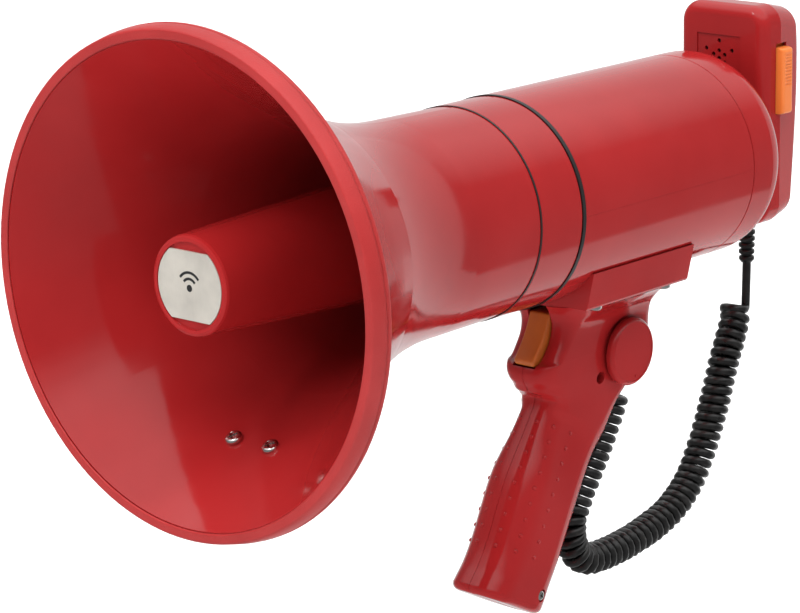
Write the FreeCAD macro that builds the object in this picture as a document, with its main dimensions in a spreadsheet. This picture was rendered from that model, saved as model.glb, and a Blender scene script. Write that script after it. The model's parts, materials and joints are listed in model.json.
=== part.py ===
import FreeCAD, Part
import math
import os
import Sketcher

# Hand-grip megaphone with a curly-cord microphone hung on its rear cap.
# Horn frame: +Y runs back from the mouth plane along the horn's axis, +Z is up, +X is the
# knob side.  Every sub-part is drawn in the horn frame, and one Placement then brings the
# middle of the grip to the origin.  All sizes are in millimetres.

SIZES = {
    # where the middle of the grip lies in the horn frame
    "grip_back": 244.0, "grip_drop": 147.0,
    # bell: outside radii and where its curves meet
    "bell_mouth": 111.25, "bell_front": 1.0, "bell_flare": 65.3, "bell_neck": 52.27, "bell_end": 51.6,
    "flare_at": 80.0, "neck_at": 140.0, "bell_length": 185.2,
    "flare_radius": 393.9, "neck_radius": 157.4, "wall": 2.5,
    # rim guard
    "rim_face": 108.6, "rim_ridge": 113.5, "rim_lip": 115.0, "rim_lip_at": 7.1, "rim_depth": 10.7,
    # folded horn: reflector cup and throat tube
    "cup_front": 22.8, "cup_rear": 29.5, "cup_at": 7.3, "cup_end": 142.0, "cup_wall": 2.2,
    "throat_front": 11.0, "throat_rear": 15.5, "throat_at": 46.0, "throat_wall": 1.8,
    "plate_radius": 19.2, "plate_flat": 15.4, "plate_thick": 1.0,
    # driver and its band
    "band_radius": 52.0, "band_at": 186.2, "band_end": 216.0, "seal_radius": 52.5,
    # rear case and rear cap
    "case_radius": 52.2, "case_at": 218.2, "case_end": 353.3, "cap_at": 353.8, "cap_end": 383.5,
    "cap_round": 14.0, "bulkhead_at": 262.0,
    # saddle under the case
    "saddle_front": 237.0, "saddle_back": 317.0, "saddle_top": 32.6, "saddle_edge": 50.3,
    "saddle_wide": 42.1, "saddle_narrow": 38.1, "saddle_floor": 51.5, "saddle_sole": 55.0,
    "screw_side": 33.0, "screw_front": 249.0, "screw_back": 304.0,
    # grip
    "grip_lean": 27.0, "grip_start_back": 268.0, "grip_start_drop": 90.0,
    "grip_wall": 2.6, "slot_half": 7.0,
    # trigger
    "trigger_half": 6.2, "trigger_pivot_back": 256.5, "trigger_pivot_drop": 60.5, "pin_radius": 1.5,
    # volume knob
    "knob_back": 295.4, "knob_drop": 86.6, "knob_radius": 17.2, "knob_inner": 16.9,
    "knob_outer": 21.5, "spindle_radius": 3.0, "running_gap": 0.05,
    # microphone
    "mic_front": 396.5, "mic_part": 411.0, "mic_back": 431.0, "mic_half": 27.0,
    "mic_top": 73.0, "mic_bottom": 41.5, "mic_corner": 11.0, "mic_wall": 2.2,
    "button_low": 17.0, "button_high": 51.2, "button_front": 407.2, "button_back": 416.0,
    "button_out": 31.6, "boot_back": 420.5, "boot_end": 67.0,
    # hanger for the microphone
    "tongue_top": 30.0, "tongue_low": 12.0,
    # cord
    "cord_radius": 2.0, "curl_radius": 7.0,
}

CELL_RADIUS = 13.1
CELL_LENGTH = 50.0
CELL_RING = 31.0
CELL_COUNT = 6

# the cord's route in the middle plane, horn frame: (back, up)
LEAD_ROUTE = [(420.5, -40.0), (420.9, -62.0), (420.2, -84.0)]
CURL_ROUTE = [
    (420.2, -84.0), (419.85, -95.0), (411.0, -104.5), (402.5, -116.0), (396.0, -131.0),
    (389.0, -146.0), (381.0, -161.5), (370.5, -177.0), (353.5, -188.5), (330.0, -194.5),
    (304.0, -197.5), (277.0, -196.5), (268.0, -175.0), (280.0, -156.5), (290.5, -141.5),
    (299.5, -127.0), (306.5, -114.0), (308.6, -103.4),
]

doc = FreeCAD.newDocument("Megaphone")
sheet = doc.addObject("Spreadsheet::Sheet", "Sizes")
parts = []


class Size:
    """A number that carries the spreadsheet expression it comes from."""

    def __init__(self, value, text=None):
        self.value = float(value)
        self.text = text if text else repr(float(value))

    def join(self, other, sign):
        other = as_size(other)
        value = {"+": self.value + other.value, "-": self.value - other.value,
                 "*": self.value * other.value}[sign]
        return Size(value, f"({self.text} {sign} {other.text})")

    def __add__(self, other):
        return self.join(other, "+")

    def __radd__(self, other):
        return as_size(other).join(self, "+")

    def __sub__(self, other):
        return self.join(other, "-")

    def __rsub__(self, other):
        return as_size(other).join(self, "-")

    def __mul__(self, other):
        return self.join(other, "*")

    def __rmul__(self, other):
        return as_size(other).join(self, "*")

    def __neg__(self):
        return Size(-self.value, f"(0 - {self.text})")


def as_size(number):
    return number if isinstance(number, Size) else Size(number)


def size(name):
    return Size(SIZES[name], "Sizes." + name)


def fill_sheet():
    for row, (name, value) in enumerate(SIZES.items(), start=1):
        sheet.set(f"A{row}", name)
        sheet.set(f"B{row}", str(value))
        sheet.setAlias(f"B{row}", name)
    doc.recompute()


# ---------------------------------------------------------------- bodies and sketches

def new_body(name):
    body = doc.addObject("PartDesign::Body", name)
    body.Label = name
    body.Placement = FreeCAD.Placement(
        FreeCAD.Vector(0, -SIZES["grip_back"], SIZES["grip_drop"]), FreeCAD.Rotation())
    parts.append(body)
    return body


def origin_plane(body, role):
    return next(item for item in body.Origin.OriginFeatures if item.Role == role)


def bind(item, name, number):
    number = as_size(number)
    setattr(item, name, number.value)
    item.setExpression(name, number.text)


def new_sketch(body, plane, height=0.0, shift=0.0, tilt=0.0):
    """A sketch on an origin plane: height along its normal, shift along its own upright."""
    sketch = body.newObject("Sketcher::SketchObject", "Outline")
    sketch.AttachmentSupport = [(origin_plane(body, plane), "")]
    sketch.MapMode = "FlatFace"
    height = as_size(height)
    shift = as_size(shift)
    sketch.AttachmentOffset = FreeCAD.Placement(
        FreeCAD.Vector(0, shift.value, height.value),
        FreeCAD.Rotation(FreeCAD.Vector(-1, 0, 0), tilt))
    sketch.setExpression("AttachmentOffset.Base.z", height.text)
    sketch.setExpression("AttachmentOffset.Base.y", shift.text)
    return sketch


def arc_between(start, end, radius):
    """The short arc from start to end; a positive radius keeps its centre on the left."""
    chord = end - start
    middle = (start + end) * 0.5
    rise = math.sqrt(max(radius * radius - chord.Length ** 2 / 4.0, 0.0))
    left = FreeCAD.Vector(-chord.y, chord.x, 0).normalize()
    centre = middle + left * (rise if radius > 0 else -rise)
    first = math.atan2(start.y - centre.y, start.x - centre.x)
    last = math.atan2(end.y - centre.y, end.x - centre.x)
    if radius < 0:
        first, last = last, first
    circle = Part.Circle(centre, FreeCAD.Vector(0, 0, 1), abs(radius))
    return Part.ArcOfCircle(circle, first, last)


def pin_corner(sketch, edge, corner, across, up):
    """Ties one corner to the sketch's axes by its two bound distances."""
    for kind, axis, number in (("DistanceX", -2, as_size(across)), ("DistanceY", -1, as_size(up))):
        if abs(number.value) < 1e-9:
            sketch.addConstraint(Sketcher.Constraint("PointOnObject", edge, corner, axis))
        else:
            index = sketch.addConstraint(
                Sketcher.Constraint(kind, -1, 1, edge, corner, number.value))
            sketch.setExpression(f"Constraints[{index}]", number.text)


def outline(sketch, corners):
    """A closed outline.  A corner is (across, up), or (across, up, radius) when the edge
    that leaves it is an arc."""
    count = len(corners)
    spots = [FreeCAD.Vector(as_size(c[0]).value, as_size(c[1]).value, 0) for c in corners]
    starts = []
    for index, corner in enumerate(corners):
        start, end = spots[index], spots[(index + 1) % count]
        if len(corner) == 3:
            radius = as_size(corner[2])
            edge = sketch.addGeometry(arc_between(start, end, radius.value), False)
            limit = sketch.addConstraint(Sketcher.Constraint("Radius", edge, abs(radius.value)))
            text = radius.text if radius.value > 0 else f"(0 - {radius.text})"
            sketch.setExpression(f"Constraints[{limit}]", text)
            starts.append((edge, 1, 2) if radius.value > 0 else (edge, 2, 1))
        else:
            edge = sketch.addGeometry(Part.LineSegment(start, end), False)
            starts.append((edge, 1, 2))
    for index, (edge, begin, finish) in enumerate(starts):
        following = starts[(index + 1) % count]
        sketch.addConstraint(
            Sketcher.Constraint("Coincident", edge, finish, following[0], following[1]))
        pin_corner(sketch, edge, begin, corners[index][0], corners[index][1])


def circle(sketch, across, up, radius):
    number = as_size(radius)
    centre = FreeCAD.Vector(as_size(across).value, as_size(up).value, 0)
    edge = sketch.addGeometry(Part.Circle(centre, FreeCAD.Vector(0, 0, 1), number.value), False)
    limit = sketch.addConstraint(Sketcher.Constraint("Radius", edge, number.value))
    sketch.setExpression(f"Constraints[{limit}]", number.text)
    pin_corner(sketch, edge, 3, across, up)


def checked(body, feature, adds):
    """Recomputes and makes sure the feature really added or removed material."""
    base = feature.BaseFeature
    before = base.Shape.Volume if base else 0.0
    doc.recompute()
    if feature.Shape.isNull():
        raise ValueError(f"{body.Label}: {feature.Name} is empty")
    change = feature.Shape.Volume - before
    if adds != (change > 0) or abs(change) < 0.05:
        raise ValueError(f"{body.Label}: {feature.Name} changed the volume by {change:.3f}")
    return feature


def turned(body, rings, adds=True):
    """A solid or a groove of revolution about the horn's axis; corners are (back, radius)."""
    sketch = new_sketch(body, "YZ_Plane")
    outline(sketch, rings)
    kind = "PartDesign::Revolution" if adds else "PartDesign::Groove"
    feature = body.newObject(kind, "Turned")
    feature.Profile = sketch
    feature.ReferenceAxis = (sketch, ["H_Axis"])
    feature.Angle = 360.0
    return checked(body, feature, adds)


SPANS = {"XY_Plane": 1, "XZ_Plane": -1, "YZ_Plane": 1}


def span(body, plane, low, high, draw, adds=True):
    """Extrudes what draw(sketch) puts on the plane from low to high along the plane's axis."""
    low, high = as_size(low), as_size(high)
    if SPANS[plane] > 0:
        sketch = new_sketch(body, plane, low if adds else high)
    else:
        sketch = new_sketch(body, plane, -high if adds else -low)
    draw(sketch)
    feature = body.newObject("PartDesign::Pad" if adds else "PartDesign::Pocket", "Span")
    feature.Profile = sketch
    bind(feature, "Length", high - low)
    return checked(body, feature, adds)


def prism(body, plane, low, high, corners, adds=True):
    return span(body, plane, low, high, lambda sketch: outline(sketch, corners), adds)


def rod(body, plane, low, high, across, up, radius, adds=True):
    return span(body, plane, low, high, lambda sketch: circle(sketch, across, up, radius), adds)


def rods(body, plane, low, high, spots, radius, adds=True):
    def draw(sketch):
        for across, up in spots:
            circle(sketch, across, up, radius)
    return span(body, plane, low, high, draw, adds)


def box(body, plane, low, high, left, bottom, right, top, adds=True):
    corners = [(left, bottom), (right, bottom), (right, top), (left, top)]
    return prism(body, plane, low, high, corners, adds)


def rounded(left, bottom, right, top, radius):
    """Corners of a box outline with round corners, run anticlockwise."""
    return [
        (left + radius, bottom), (right - radius, bottom, radius), (right, bottom + radius),
        (right, top - radius, radius), (right - radius, top), (left + radius, top, radius),
        (left, top - radius), (left, bottom + radius, radius),
    ]


def loft(body, sketches, adds=True, ruled=False):
    kind = "PartDesign::AdditiveLoft" if adds else "PartDesign::SubtractiveLoft"
    feature = body.newObject(kind, "Lofted")
    feature.Profile = sketches[0]
    feature.Sections = sketches[1:]
    feature.Ruled = ruled
    return checked(body, feature, adds)


def edges_of(body, chosen):
    """Names of the edges of the body's last feature whose middle passes the test."""
    names = []
    for number, edge in enumerate(body.Tip.Shape.Edges, start=1):
        middle = edge.valueAt((edge.FirstParameter + edge.LastParameter) / 2.0)
        if chosen(middle, edge):
            names.append(f"Edge{number}")
    return names


def softened(body, radius, chosen, kind="Fillet"):
    names = edges_of(body, chosen)
    if not names:
        raise ValueError(f"{body.Label}: no edge to soften")
    tip = body.Tip
    feature = body.newObject("PartDesign::" + kind, kind)
    feature.Base = (tip, names)
    bind(feature, "Radius" if kind == "Fillet" else "Size", radius)
    doc.recompute()
    if feature.Shape.isNull() or not feature.Shape.isValid():
        raise ValueError(f"{body.Label}: {kind} failed on {len(names)} edges")
    return feature

def stud(body, across, back, up, tilt, low, high, radius, adds=True, sides=0):
    """A round or many-sided pin through a point, leaning by tilt from upright towards +Y."""
    lean = math.radians(tilt)
    reach = low if adds else high
    sketch = new_sketch(body, "XY_Plane", up + reach * math.cos(lean),
                        back + reach * math.sin(lean), tilt)
    if sides:
        turns = [2.0 * math.pi * corner / sides for corner in range(sides)]
        outline(sketch, [(across + radius * math.cos(t), radius * math.sin(t)) for t in turns])
    else:
        circle(sketch, across, 0.0, radius)
    feature = body.newObject("PartDesign::Pad" if adds else "PartDesign::Pocket", "Stud")
    feature.Profile = sketch
    feature.Length = high - low
    return checked(body, feature, adds)


# ---------------------------------------------------------------- horn

BELL_SCREWS = {"back": 44.5, "drop": 80.2, "aside": 11.3, "tilt": -30.0}


def rim_guard():
    body = new_body("rim_guard")
    ridge, lip = size("rim_ridge"), size("rim_lip")
    lip_at, depth = size("rim_lip_at"), size("rim_depth")
    turned(body, [
        (size("bell_front"), size("rim_face")), (0.5, size("rim_face")), (0.0, size("rim_face") + 0.5),
        (0.0, ridge - 0.8), (0.8, ridge), (lip_at, lip - 0.1), (lip_at + 0.2, lip - 0.6),
        (lip_at + 0.8, lip - 0.6), (lip_at + 1.0, lip), (depth - 1.0, lip), (depth, lip - 1.0),
        (depth, 107.0), (8.0, 107.2), (size("bell_front"), size("bell_mouth") + 0.1),
    ])


def horn_bell():
    """A flared skin that closes onto the throat with a flat floor near its rear."""
    body = new_body("horn_bell")
    wall, front, end = size("wall"), size("bell_front"), size("bell_length")
    flare, neck = size("flare_radius"), size("neck_radius")
    inside, floor_edge = size("bell_end") - wall, size("throat_rear") + 2.0
    turned(body, [
        (front, size("bell_mouth"), flare), (size("flare_at"), size("bell_flare"), neck),
        (size("neck_at"), size("bell_neck")), (end, size("bell_end")), (end, inside),
        (171.0, inside), (171.0, floor_edge), (168.0, floor_edge), (168.0, 44.0), (162.0, 49.2),
        (size("neck_at"), size("bell_neck") - wall, -(neck + wall)),
        (size("flare_at") - 1.0, size("bell_flare") - 2.29, -(flare + wall)),
        (front, size("bell_mouth") - 3.13),
    ])
    for side in (-1, 1):
        stud(body, side * BELL_SCREWS["aside"], BELL_SCREWS["back"], -BELL_SCREWS["drop"],
             BELL_SCREWS["tilt"], -8.0, 8.0, 2.0, adds=False)


def throat_tube():
    body = new_body("throat_tube")
    wall, front_at = size("throat_wall"), size("throat_at")
    front, rear = size("throat_front"), size("throat_rear")
    turned(body, [
        (front_at, front), (168.0, rear), (168.0, rear + 2.0), (171.0, rear + 2.0),
        (171.0, rear - wall), (front_at, front - wall),
    ])


def reflector_cone():
    body = new_body("reflector_cone")
    wall, plate = size("cup_wall"), size("plate_radius")
    front_at, front = size("cup_at"), size("cup_front")
    back_at, rear = size("cup_end"), size("cup_rear")
    turned(body, [
        (front_at + 1.2, 0.0), (front_at + 1.2, plate + 0.3), (front_at, plate + 0.5),
        (front_at, front - 1.6), (front_at + 0.5, front - 0.5), (front_at + 1.6, front),
        (back_at, rear), (back_at, rear - wall), (front_at + 14.0, front - wall),
        (front_at + 5.0, 13.0), (front_at + 4.0, 0.0),
    ])


def name_plate():
    """A blank round plate with two flats, let into the cup's front."""
    body = new_body("name_plate")
    radius, half = size("plate_radius"), size("plate_flat")
    reach = math.sqrt(SIZES["plate_radius"] ** 2 - SIZES["plate_flat"] ** 2)
    seat = size("cup_at") + 1.2
    prism(body, "XZ_Plane", seat - size("plate_thick"), seat, [
        (-reach, -half), (reach, -half, radius), (reach, half), (-reach, half, radius),
    ])


def reflector_stays():
    """Three vanes on a collar hold the cup round the throat tube."""
    body = new_body("reflector_stays")
    collar = turned(body, [(114.0, 13.51), (140.0, 14.47), (140.0, 16.2), (114.0, 16.2)])
    vane = prism(body, "YZ_Plane", -1.2, 1.2, [
        (114.0, 15.0), (140.0, 15.5), (140.0, 26.4), (114.0, 25.25),
    ])
    pattern = body.newObject("PartDesign::PolarPattern", "Vanes")
    pattern.Originals = [vane]
    pattern.Axis = (collar.Profile[0], ["H_Axis"])
    pattern.Angle = 360.0
    pattern.Occurrences = 3
    body.Tip = pattern
    checked(body, pattern, True)


def horn_screws():
    body = new_body("horn_screws")
    place = BELL_SCREWS
    for side in (-1, 1):
        spot = (side * place["aside"], place["back"], -place["drop"], place["tilt"])
        stud(body, *spot, -6.0, 2.4, 1.9)
        stud(body, *spot, 1.9, 4.3, 3.9)


def horn_nuts():
    body = new_body("horn_nuts")
    place = BELL_SCREWS
    for side in (-1, 1):
        spot = (side * place["aside"], place["back"], -place["drop"], place["tilt"])
        stud(body, *spot, -5.8, -2.3, 4.1, sides=6)
        stud(body, *spot, -6.5, -1.0, 1.9, adds=False)


# ---------------------------------------------------------------- driver

def driver_front_plate():
    body = new_body("driver_front_plate")
    turned(body, [
        (171.0, 12.0), (171.0, 48.5), (175.0, 48.5), (175.0, 30.0), (178.5, 30.0), (178.5, 27.0),
        (174.0, 25.0), (174.0, 12.0),
    ])


def driver_diaphragm():
    body = new_body("driver_diaphragm")
    turned(body, [
        (176.0, 0.0), (176.8, 8.0), (179.0, 16.8), (178.5, 18.0), (178.5, 29.5), (178.9, 29.5),
        (178.9, 18.2), (179.6, 16.6), (177.4, 7.8), (176.6, 0.0),
    ])


def voice_coil():
    body = new_body("voice_coil")
    turned(body, [(179.6, 17.6), (179.6, 18.1), (186.0, 18.1), (186.0, 17.6)])


def driver_top_plate():
    body = new_body("driver_top_plate")
    turned(body, [(178.9, 27.0), (178.9, 38.0), (184.5, 38.0), (184.5, 18.6), (181.0, 18.6),
                  (181.0, 27.0)])


def driver_magnet():
    body = new_body("driver_magnet")
    turned(body, [(184.5, 23.0), (184.5, 41.0), (198.0, 41.0), (198.0, 23.0)])


def driver_yoke():
    body = new_body("driver_yoke")
    turned(body, [(181.2, 0.0), (181.2, 17.1), (198.0, 17.1), (198.0, 38.0), (203.0, 38.0),
                  (204.0, 37.0), (204.0, 0.0)])


def front_gasket():
    body = new_body("front_gasket")
    start, radius = size("bell_length"), size("seal_radius")
    turned(body, [(start, 46.5), (start, radius - 0.5), (size("band_at"), radius - 0.5),
                  (size("band_at"), 46.5)])


def middle_band():
    body = new_body("middle_band")
    start, end, radius = size("band_at"), size("band_end"), size("band_radius")
    turned(body, [
        (start, 46.5), (start, radius - 0.4), (start + 0.4, radius), (end - 0.4, radius),
        (end, radius - 0.4), (end, 46.0), (211.0, 46.0), (211.0, 49.0), (189.0, 49.0), (189.0, 46.5),
    ])


def rear_gasket():
    body = new_body("rear_gasket")
    start, end, radius = size("band_end"), size("case_at"), size("seal_radius")
    turned(body, [(start, 46.0), (start, radius), (end, radius), (end, 46.0)])


# ---------------------------------------------------------------- rear case and its contents

def rear_case():
    """A tube with a front flange, a ledge for the bulkhead and a rear mouth for the cap."""
    body = new_body("rear_case")
    start, end, radius = size("case_at"), size("case_end"), size("case_radius")
    inside, ledge = radius - size("wall"), size("bulkhead_at")
    turned(body, [
        (start, 46.0), (start, radius - 0.5), (start + 0.5, radius), (end - 0.3, radius),
        (end, radius - 0.3), (end, inside + 0.6), (end - 9.0, inside + 0.6), (end - 9.0, inside),
        (ledge, inside), (ledge, inside - 2.0), (ledge - 3.0, inside - 2.0), (ledge - 3.0, inside),
        (start + 2.5, inside), (start + 2.5, 46.0),
    ])
    spots = [(side * SIZES["screw_side"], SIZES[row])
             for side in (-1, 1) for row in ("screw_front", "screw_back")]
    rods(body, "XY_Plane", -45.0, -33.0, spots, 1.6, adds=False)


def bulkhead():
    body = new_body("bulkhead")
    at, radius = size("bulkhead_at"), size("case_radius") - size("wall") - 0.1
    turned(body, [(at, 0.0), (at, radius), (at + 2.5, radius), (at + 2.5, 0.0)])
    rods(body, "XZ_Plane", at, at + 2.5, [(-20.0, 28.0), (20.0, 28.0)], 2.0, adds=False)


def amplifier_board():
    body = new_body("amplifier_board")
    box(body, "XY_Plane", -14.0, -12.4, -38.0, 222.0, 38.0, 258.0)


def heat_sink():
    body = new_body("heat_sink")
    box(body, "XY_Plane", -12.4, -9.4, -36.0, 240.0, -4.0, 256.0)
    for row in range(7):
        left = -36.0 + row * 5.0
        box(body, "XY_Plane", -9.4, 12.0, left, 240.0, left + 2.0, 256.0)


def output_transformer():
    body = new_body("output_transformer")
    box(body, "XY_Plane", -12.4, 10.6, 6.0, 226.0, 34.0, 248.0)
    box(body, "XY_Plane", -8.4, 6.6, 10.0, 222.5, 30.0, 251.5)


def capacitors():
    body = new_body("capacitors")
    for spot, radius in (((-28.0, 231.0), 6.0), ((-13.0, 230.0), 5.0), ((-1.5, 231.0), 4.0)):
        rods(body, "XY_Plane", -12.4, 8.0, [spot], radius)


def cell_spots():
    turns = [math.radians(30.0 + 360.0 * cell / CELL_COUNT) for cell in range(CELL_COUNT)]
    return [(CELL_RING * math.cos(turn), CELL_RING * math.sin(turn)) for turn in turns]


def battery_holder():
    """Two end discs on a hollow post, with a shallow seat for each cell."""
    body = new_body("battery_holder")
    radius = size("case_radius") - size("wall") - 1.2
    turned(body, [
        (282.0, 4.0), (282.0, radius), (285.5, radius), (285.5, 9.0), (338.5, 9.0),
        (338.5, radius), (342.0, radius), (342.0, 4.0),
    ])


def battery_cells():
    body = new_body("battery_cells")
    start = 286.6
    rods(body, "XZ_Plane", start, start + CELL_LENGTH - 1.4, cell_spots(), CELL_RADIUS)
    rods(body, "XZ_Plane", start + CELL_LENGTH - 1.4, start + CELL_LENGTH, cell_spots(), 3.6)


def cell_contacts():
    body = new_body("cell_contacts")
    rods(body, "XZ_Plane", 285.5, 286.6, cell_spots(), 6.0)


# ---------------------------------------------------------------- rear cap and hanger

def battery_cover():
    """A round-shouldered cap with a spigot that slides into the case's mouth."""
    body = new_body("battery_cover")
    start, end, radius = size("cap_at"), size("cap_end"), size("case_radius")
    rounding, wall = size("cap_round"), size("wall")
    spigot = radius - wall + 0.3
    turned(body, [
        (start, spigot), (start, radius - 0.3), (start + 0.3, radius),
        (end - rounding, radius, -rounding), (end, radius - rounding), (end, 0.0),
        (end - wall, 0.0), (end - wall, radius - rounding, rounding - wall),
        (end - rounding, radius - wall), (start + 4.0, radius - wall),
        (start + 4.0, spigot - 2.0), (start - 8.0, spigot - 2.0), (start - 8.0, spigot),
    ])
    rods(body, "XZ_Plane", 376.0, 390.0, [(-10.0, 4.0), (10.0, 4.0)], 1.4, adds=False)


def cover_seal():
    body = new_body("cover_seal")
    start, radius = size("cap_at"), size("case_radius")
    turned(body, [(start - 0.35, radius - 2.1), (start - 0.35, radius - 0.9),
                  (start, radius - 0.9), (start, radius - 2.1)])


def mic_hanger():
    """A screwed plate with an upright tongue whose wide back edge fits the clip's slot."""
    body = new_body("mic_hanger")
    end, top, low = size("cap_end"), size("tongue_top"), size("tongue_low")
    prism(body, "XZ_Plane", end, end + 2.2, rounded(-15.0, -2.0, 15.0, 34.0, 3.0))
    box(body, "XZ_Plane", end + 2.2, end + 7.0, -5.5, low, 5.5, top)
    box(body, "XZ_Plane", end + 6.2, end + 9.0, -10.5, low, 10.5, top)
    rods(body, "XZ_Plane", end - 4.0, end + 10.0, [(-10.0, 4.0), (10.0, 4.0)], 1.4, adds=False)


def hanger_screws():
    body = new_body("hanger_screws")
    end = size("cap_end")
    for side in (-1, 1):
        rods(body, "XZ_Plane", end - 5.0, end + 2.4, [(side * 10.0, 4.0)], 1.4)
        rods(body, "XZ_Plane", end + 2.2, end + 3.6, [(side * 10.0, 4.0)], 2.8)


# ---------------------------------------------------------------- saddle

def saddle():
    """A cradle: two leaning cheeks, a web at each end and a floor on a thicker sole."""
    body = new_body("saddle")
    front, back, floor = size("saddle_front"), size("saddle_back"), size("saddle_floor")
    wide, narrow, edge = size("saddle_wide"), size("saddle_narrow"), size("saddle_edge")
    sole, radius = size("saddle_sole"), size("case_radius")
    prism(body, "XZ_Plane", front, back, [
        (-(narrow - 1.0), -floor), (narrow - 1.0, -floor), (narrow, -edge), (wide, -size("saddle_top")),
        (-wide, -size("saddle_top")), (-narrow, -edge),
    ])
    toe, heel = front + 7.0, back
    prism(body, "XY_Plane", -sole, -(floor - 1.0), [
        (-6.0, toe), (6.0, toe, 20.0), (26.0, toe + 20.0), (26.0, heel - 7.0, 7.0), (19.0, heel),
        (-19.0, heel, 7.0), (-26.0, heel - 7.0), (-26.0, toe + 20.0, 20.0),
    ])
    for side in (-1, 1):
        inner, outer = side * 17.0, side * (SIZES["saddle_narrow"] - 2.7)
        prism(body, "XZ_Plane", front + 2.6, back - 2.6, [
            (inner, -(floor - 2.6)), (outer, -(floor - 2.6)),
            (side * (SIZES["saddle_wide"] - 2.6), -30.0), (inner, -30.0),
        ], adds=False)
    spots = [(side * SIZES["screw_side"], SIZES[row])
             for side in (-1, 1) for row in ("screw_front", "screw_back")]
    rods(body, "XY_Plane", -(floor - 1.0), -35.0, spots, 3.8)
    rods(body, "XZ_Plane", front - 5.0, back + 5.0, [(0.0, 0.0)], radius, adds=False)
    rods(body, "XY_Plane", -60.0, -30.0, spots, 1.6, adds=False)


def saddle_screws():
    body = new_body("saddle_screws")
    floor = size("saddle_floor")
    for side in (-1, 1):
        for row in ("screw_front", "screw_back"):
            spot = [(side * SIZES["screw_side"], SIZES[row])]
            rods(body, "XY_Plane", -floor - 0.4, -35.5, spot, 1.6)
            rods(body, "XY_Plane", -floor - 2.4, -floor, spot, 3.6)


# ---------------------------------------------------------------- grip

# stations down the housing: (drop, lean, front, back, half width, front round, back round);
# front and back are measured from the grip's starting point
HOUSING = [
    (55.0, 0.0, 24.5, 47.5, 29.0, 24.0, 6.0),
    (60.5, 0.0, 21.5, 49.5, 23.0, 17.0, 7.0),
    (68.0, 0.0, 19.5, 50.5, 16.6, 8.5, 7.0),
    (79.0, 0.0, 24.0, 51.0, 15.5, 7.5, 7.0),
    (90.5, 0.0, 32.5, 49.0, 15.3, 12.5, 8.0),
    (99.0, 4.0, 27.0, 39.0, 14.4, 11.5, 9.0),
]
# stations down the grip: (distance along it, front, back, half width, rounding)
GRIP = [
    (-6.0, 17.0, 33.0, 13.2, 10.5), (8.0, 18.5, 33.0, 13.6, 11.0), (24.0, 15.6, 34.5, 14.9, 12.0),
    (40.0, 17.3, 29.0, 16.0, 13.2), (65.0, 20.8, 27.0, 17.0, 14.2), (95.0, 20.8, 26.0, 17.0, 14.2),
    (112.0, 22.4, 24.6, 17.0, 14.2), (123.0, 25.0, 23.4, 17.2, 13.5),
]


def half_section(body, side, back, drop, lean, front, rear, half, front_round, rear_round):
    """Half of a rounded section, closed along the seam between the two shells."""
    sketch = new_sketch(body, "XY_Plane", -drop, back, lean)
    bend = 1 if side > 0 else -1
    outline(sketch, [
        (0.0, -front), (side * (half - front_round), -front, bend * front_round),
        (side * half, front_round - front), (side * half, rear - rear_round, bend * rear_round),
        (side * (half - rear_round), rear), (0.0, rear),
    ])
    return sketch


def housing_section(body, side, station, inset=0.0, lift=0.0):
    drop, lean, front, rear, half, front_round, rear_round = station
    return half_section(
        body, side, size("grip_start_back"), as_size(drop - lift), lean, front - inset, rear - inset,
        half - inset, max(front_round - inset, 1.5), max(rear_round - inset, 1.5))


def grip_section(body, side, station, inset=0.0, shift=0.0):
    along, front, rear, half, rounding = station
    lean = math.radians(SIZES["grip_lean"])
    along = along + shift
    return half_section(
        body, side, size("grip_start_back") - along * math.sin(lean),
        size("grip_start_drop") + along * math.cos(lean), SIZES["grip_lean"],
        front - inset, rear - inset, half - inset, rounding - inset, rounding - inset)


def grip_shell(name, side):
    """One half of the grip: housing, nose and handle, hollow, with its bosses."""
    body = new_body(name)
    wall = SIZES["grip_wall"]
    loft(body, [housing_section(body, side, station) for station in HOUSING])
    loft(body, [grip_section(body, side, station) for station in GRIP])
    loft(body, [housing_section(body, side, station, inset=wall + (9.0 if index == 0 else 0.0),
                                lift=-2.6 if index == 0 else 0.0)
                for index, station in enumerate(HOUSING[:5])], adds=False)
    loft(body, [grip_section(body, side, station, inset=wall, shift=-2.6 if station is GRIP[-1] else 0.0)
                for station in GRIP], adds=False)
    near, far = (0.0, 15.0) if side > 0 else (-15.0, 0.0)
    for back, drop, seat in HANDLE_SCREWS:
        rod(body, "YZ_Plane", near, far, back, -drop, 4.6)
        rod(body, "YZ_Plane", -20.0, 20.0, back, -drop, 1.5, adds=False)
        if side > 0:
            rod(body, "YZ_Plane", seat, 24.0, back, -drop, 3.2, adds=False)
    slot = size("slot_half")
    low, high = (-1.0, slot) if side > 0 else (-slot, 1.0)
    prism(body, "YZ_Plane", low, high, [
        (225.0, -91.5), (236.0, -88.6), (262.0, -86.8), (262.0, -58.2), (225.0, -58.2),
    ], adds=False)
    tilt = CORD_EXIT_TILT
    stud(body, 0.0, CURL_ROUTE[-1][0], CURL_ROUTE[-1][1], tilt, -2.0, 16.0, 5.2, adds=False)
    stud(body, 0.0, CURL_ROUTE[-1][0], CURL_ROUTE[-1][1], tilt, -2.0, 2.4, 6.4, adds=False)
    low, high = (0.0, 7.0) if side > 0 else (-7.0, 0.0)
    rod(body, "YZ_Plane", low, high, size("knob_back"), -size("knob_drop"), 9.0, adds=False)
    if side > 0:
        rod(body, "YZ_Plane", 9.0, 24.0, size("knob_back"), -size("knob_drop"), 4.3, adds=False)
        rod(body, "YZ_Plane", 15.2, 24.0, size("knob_back"), -size("knob_drop"),
            size("knob_radius") + 0.5, adds=False)


HANDLE_SCREWS = [(277.0, 97.0, 4.0), (227.5, 197.0, 12.0)]
CORD_EXIT_TILT = math.degrees(math.atan2(
    CURL_ROUTE[-1][0] - CURL_ROUTE[-2][0], CURL_ROUTE[-1][1] - CURL_ROUTE[-2][1]))


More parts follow.
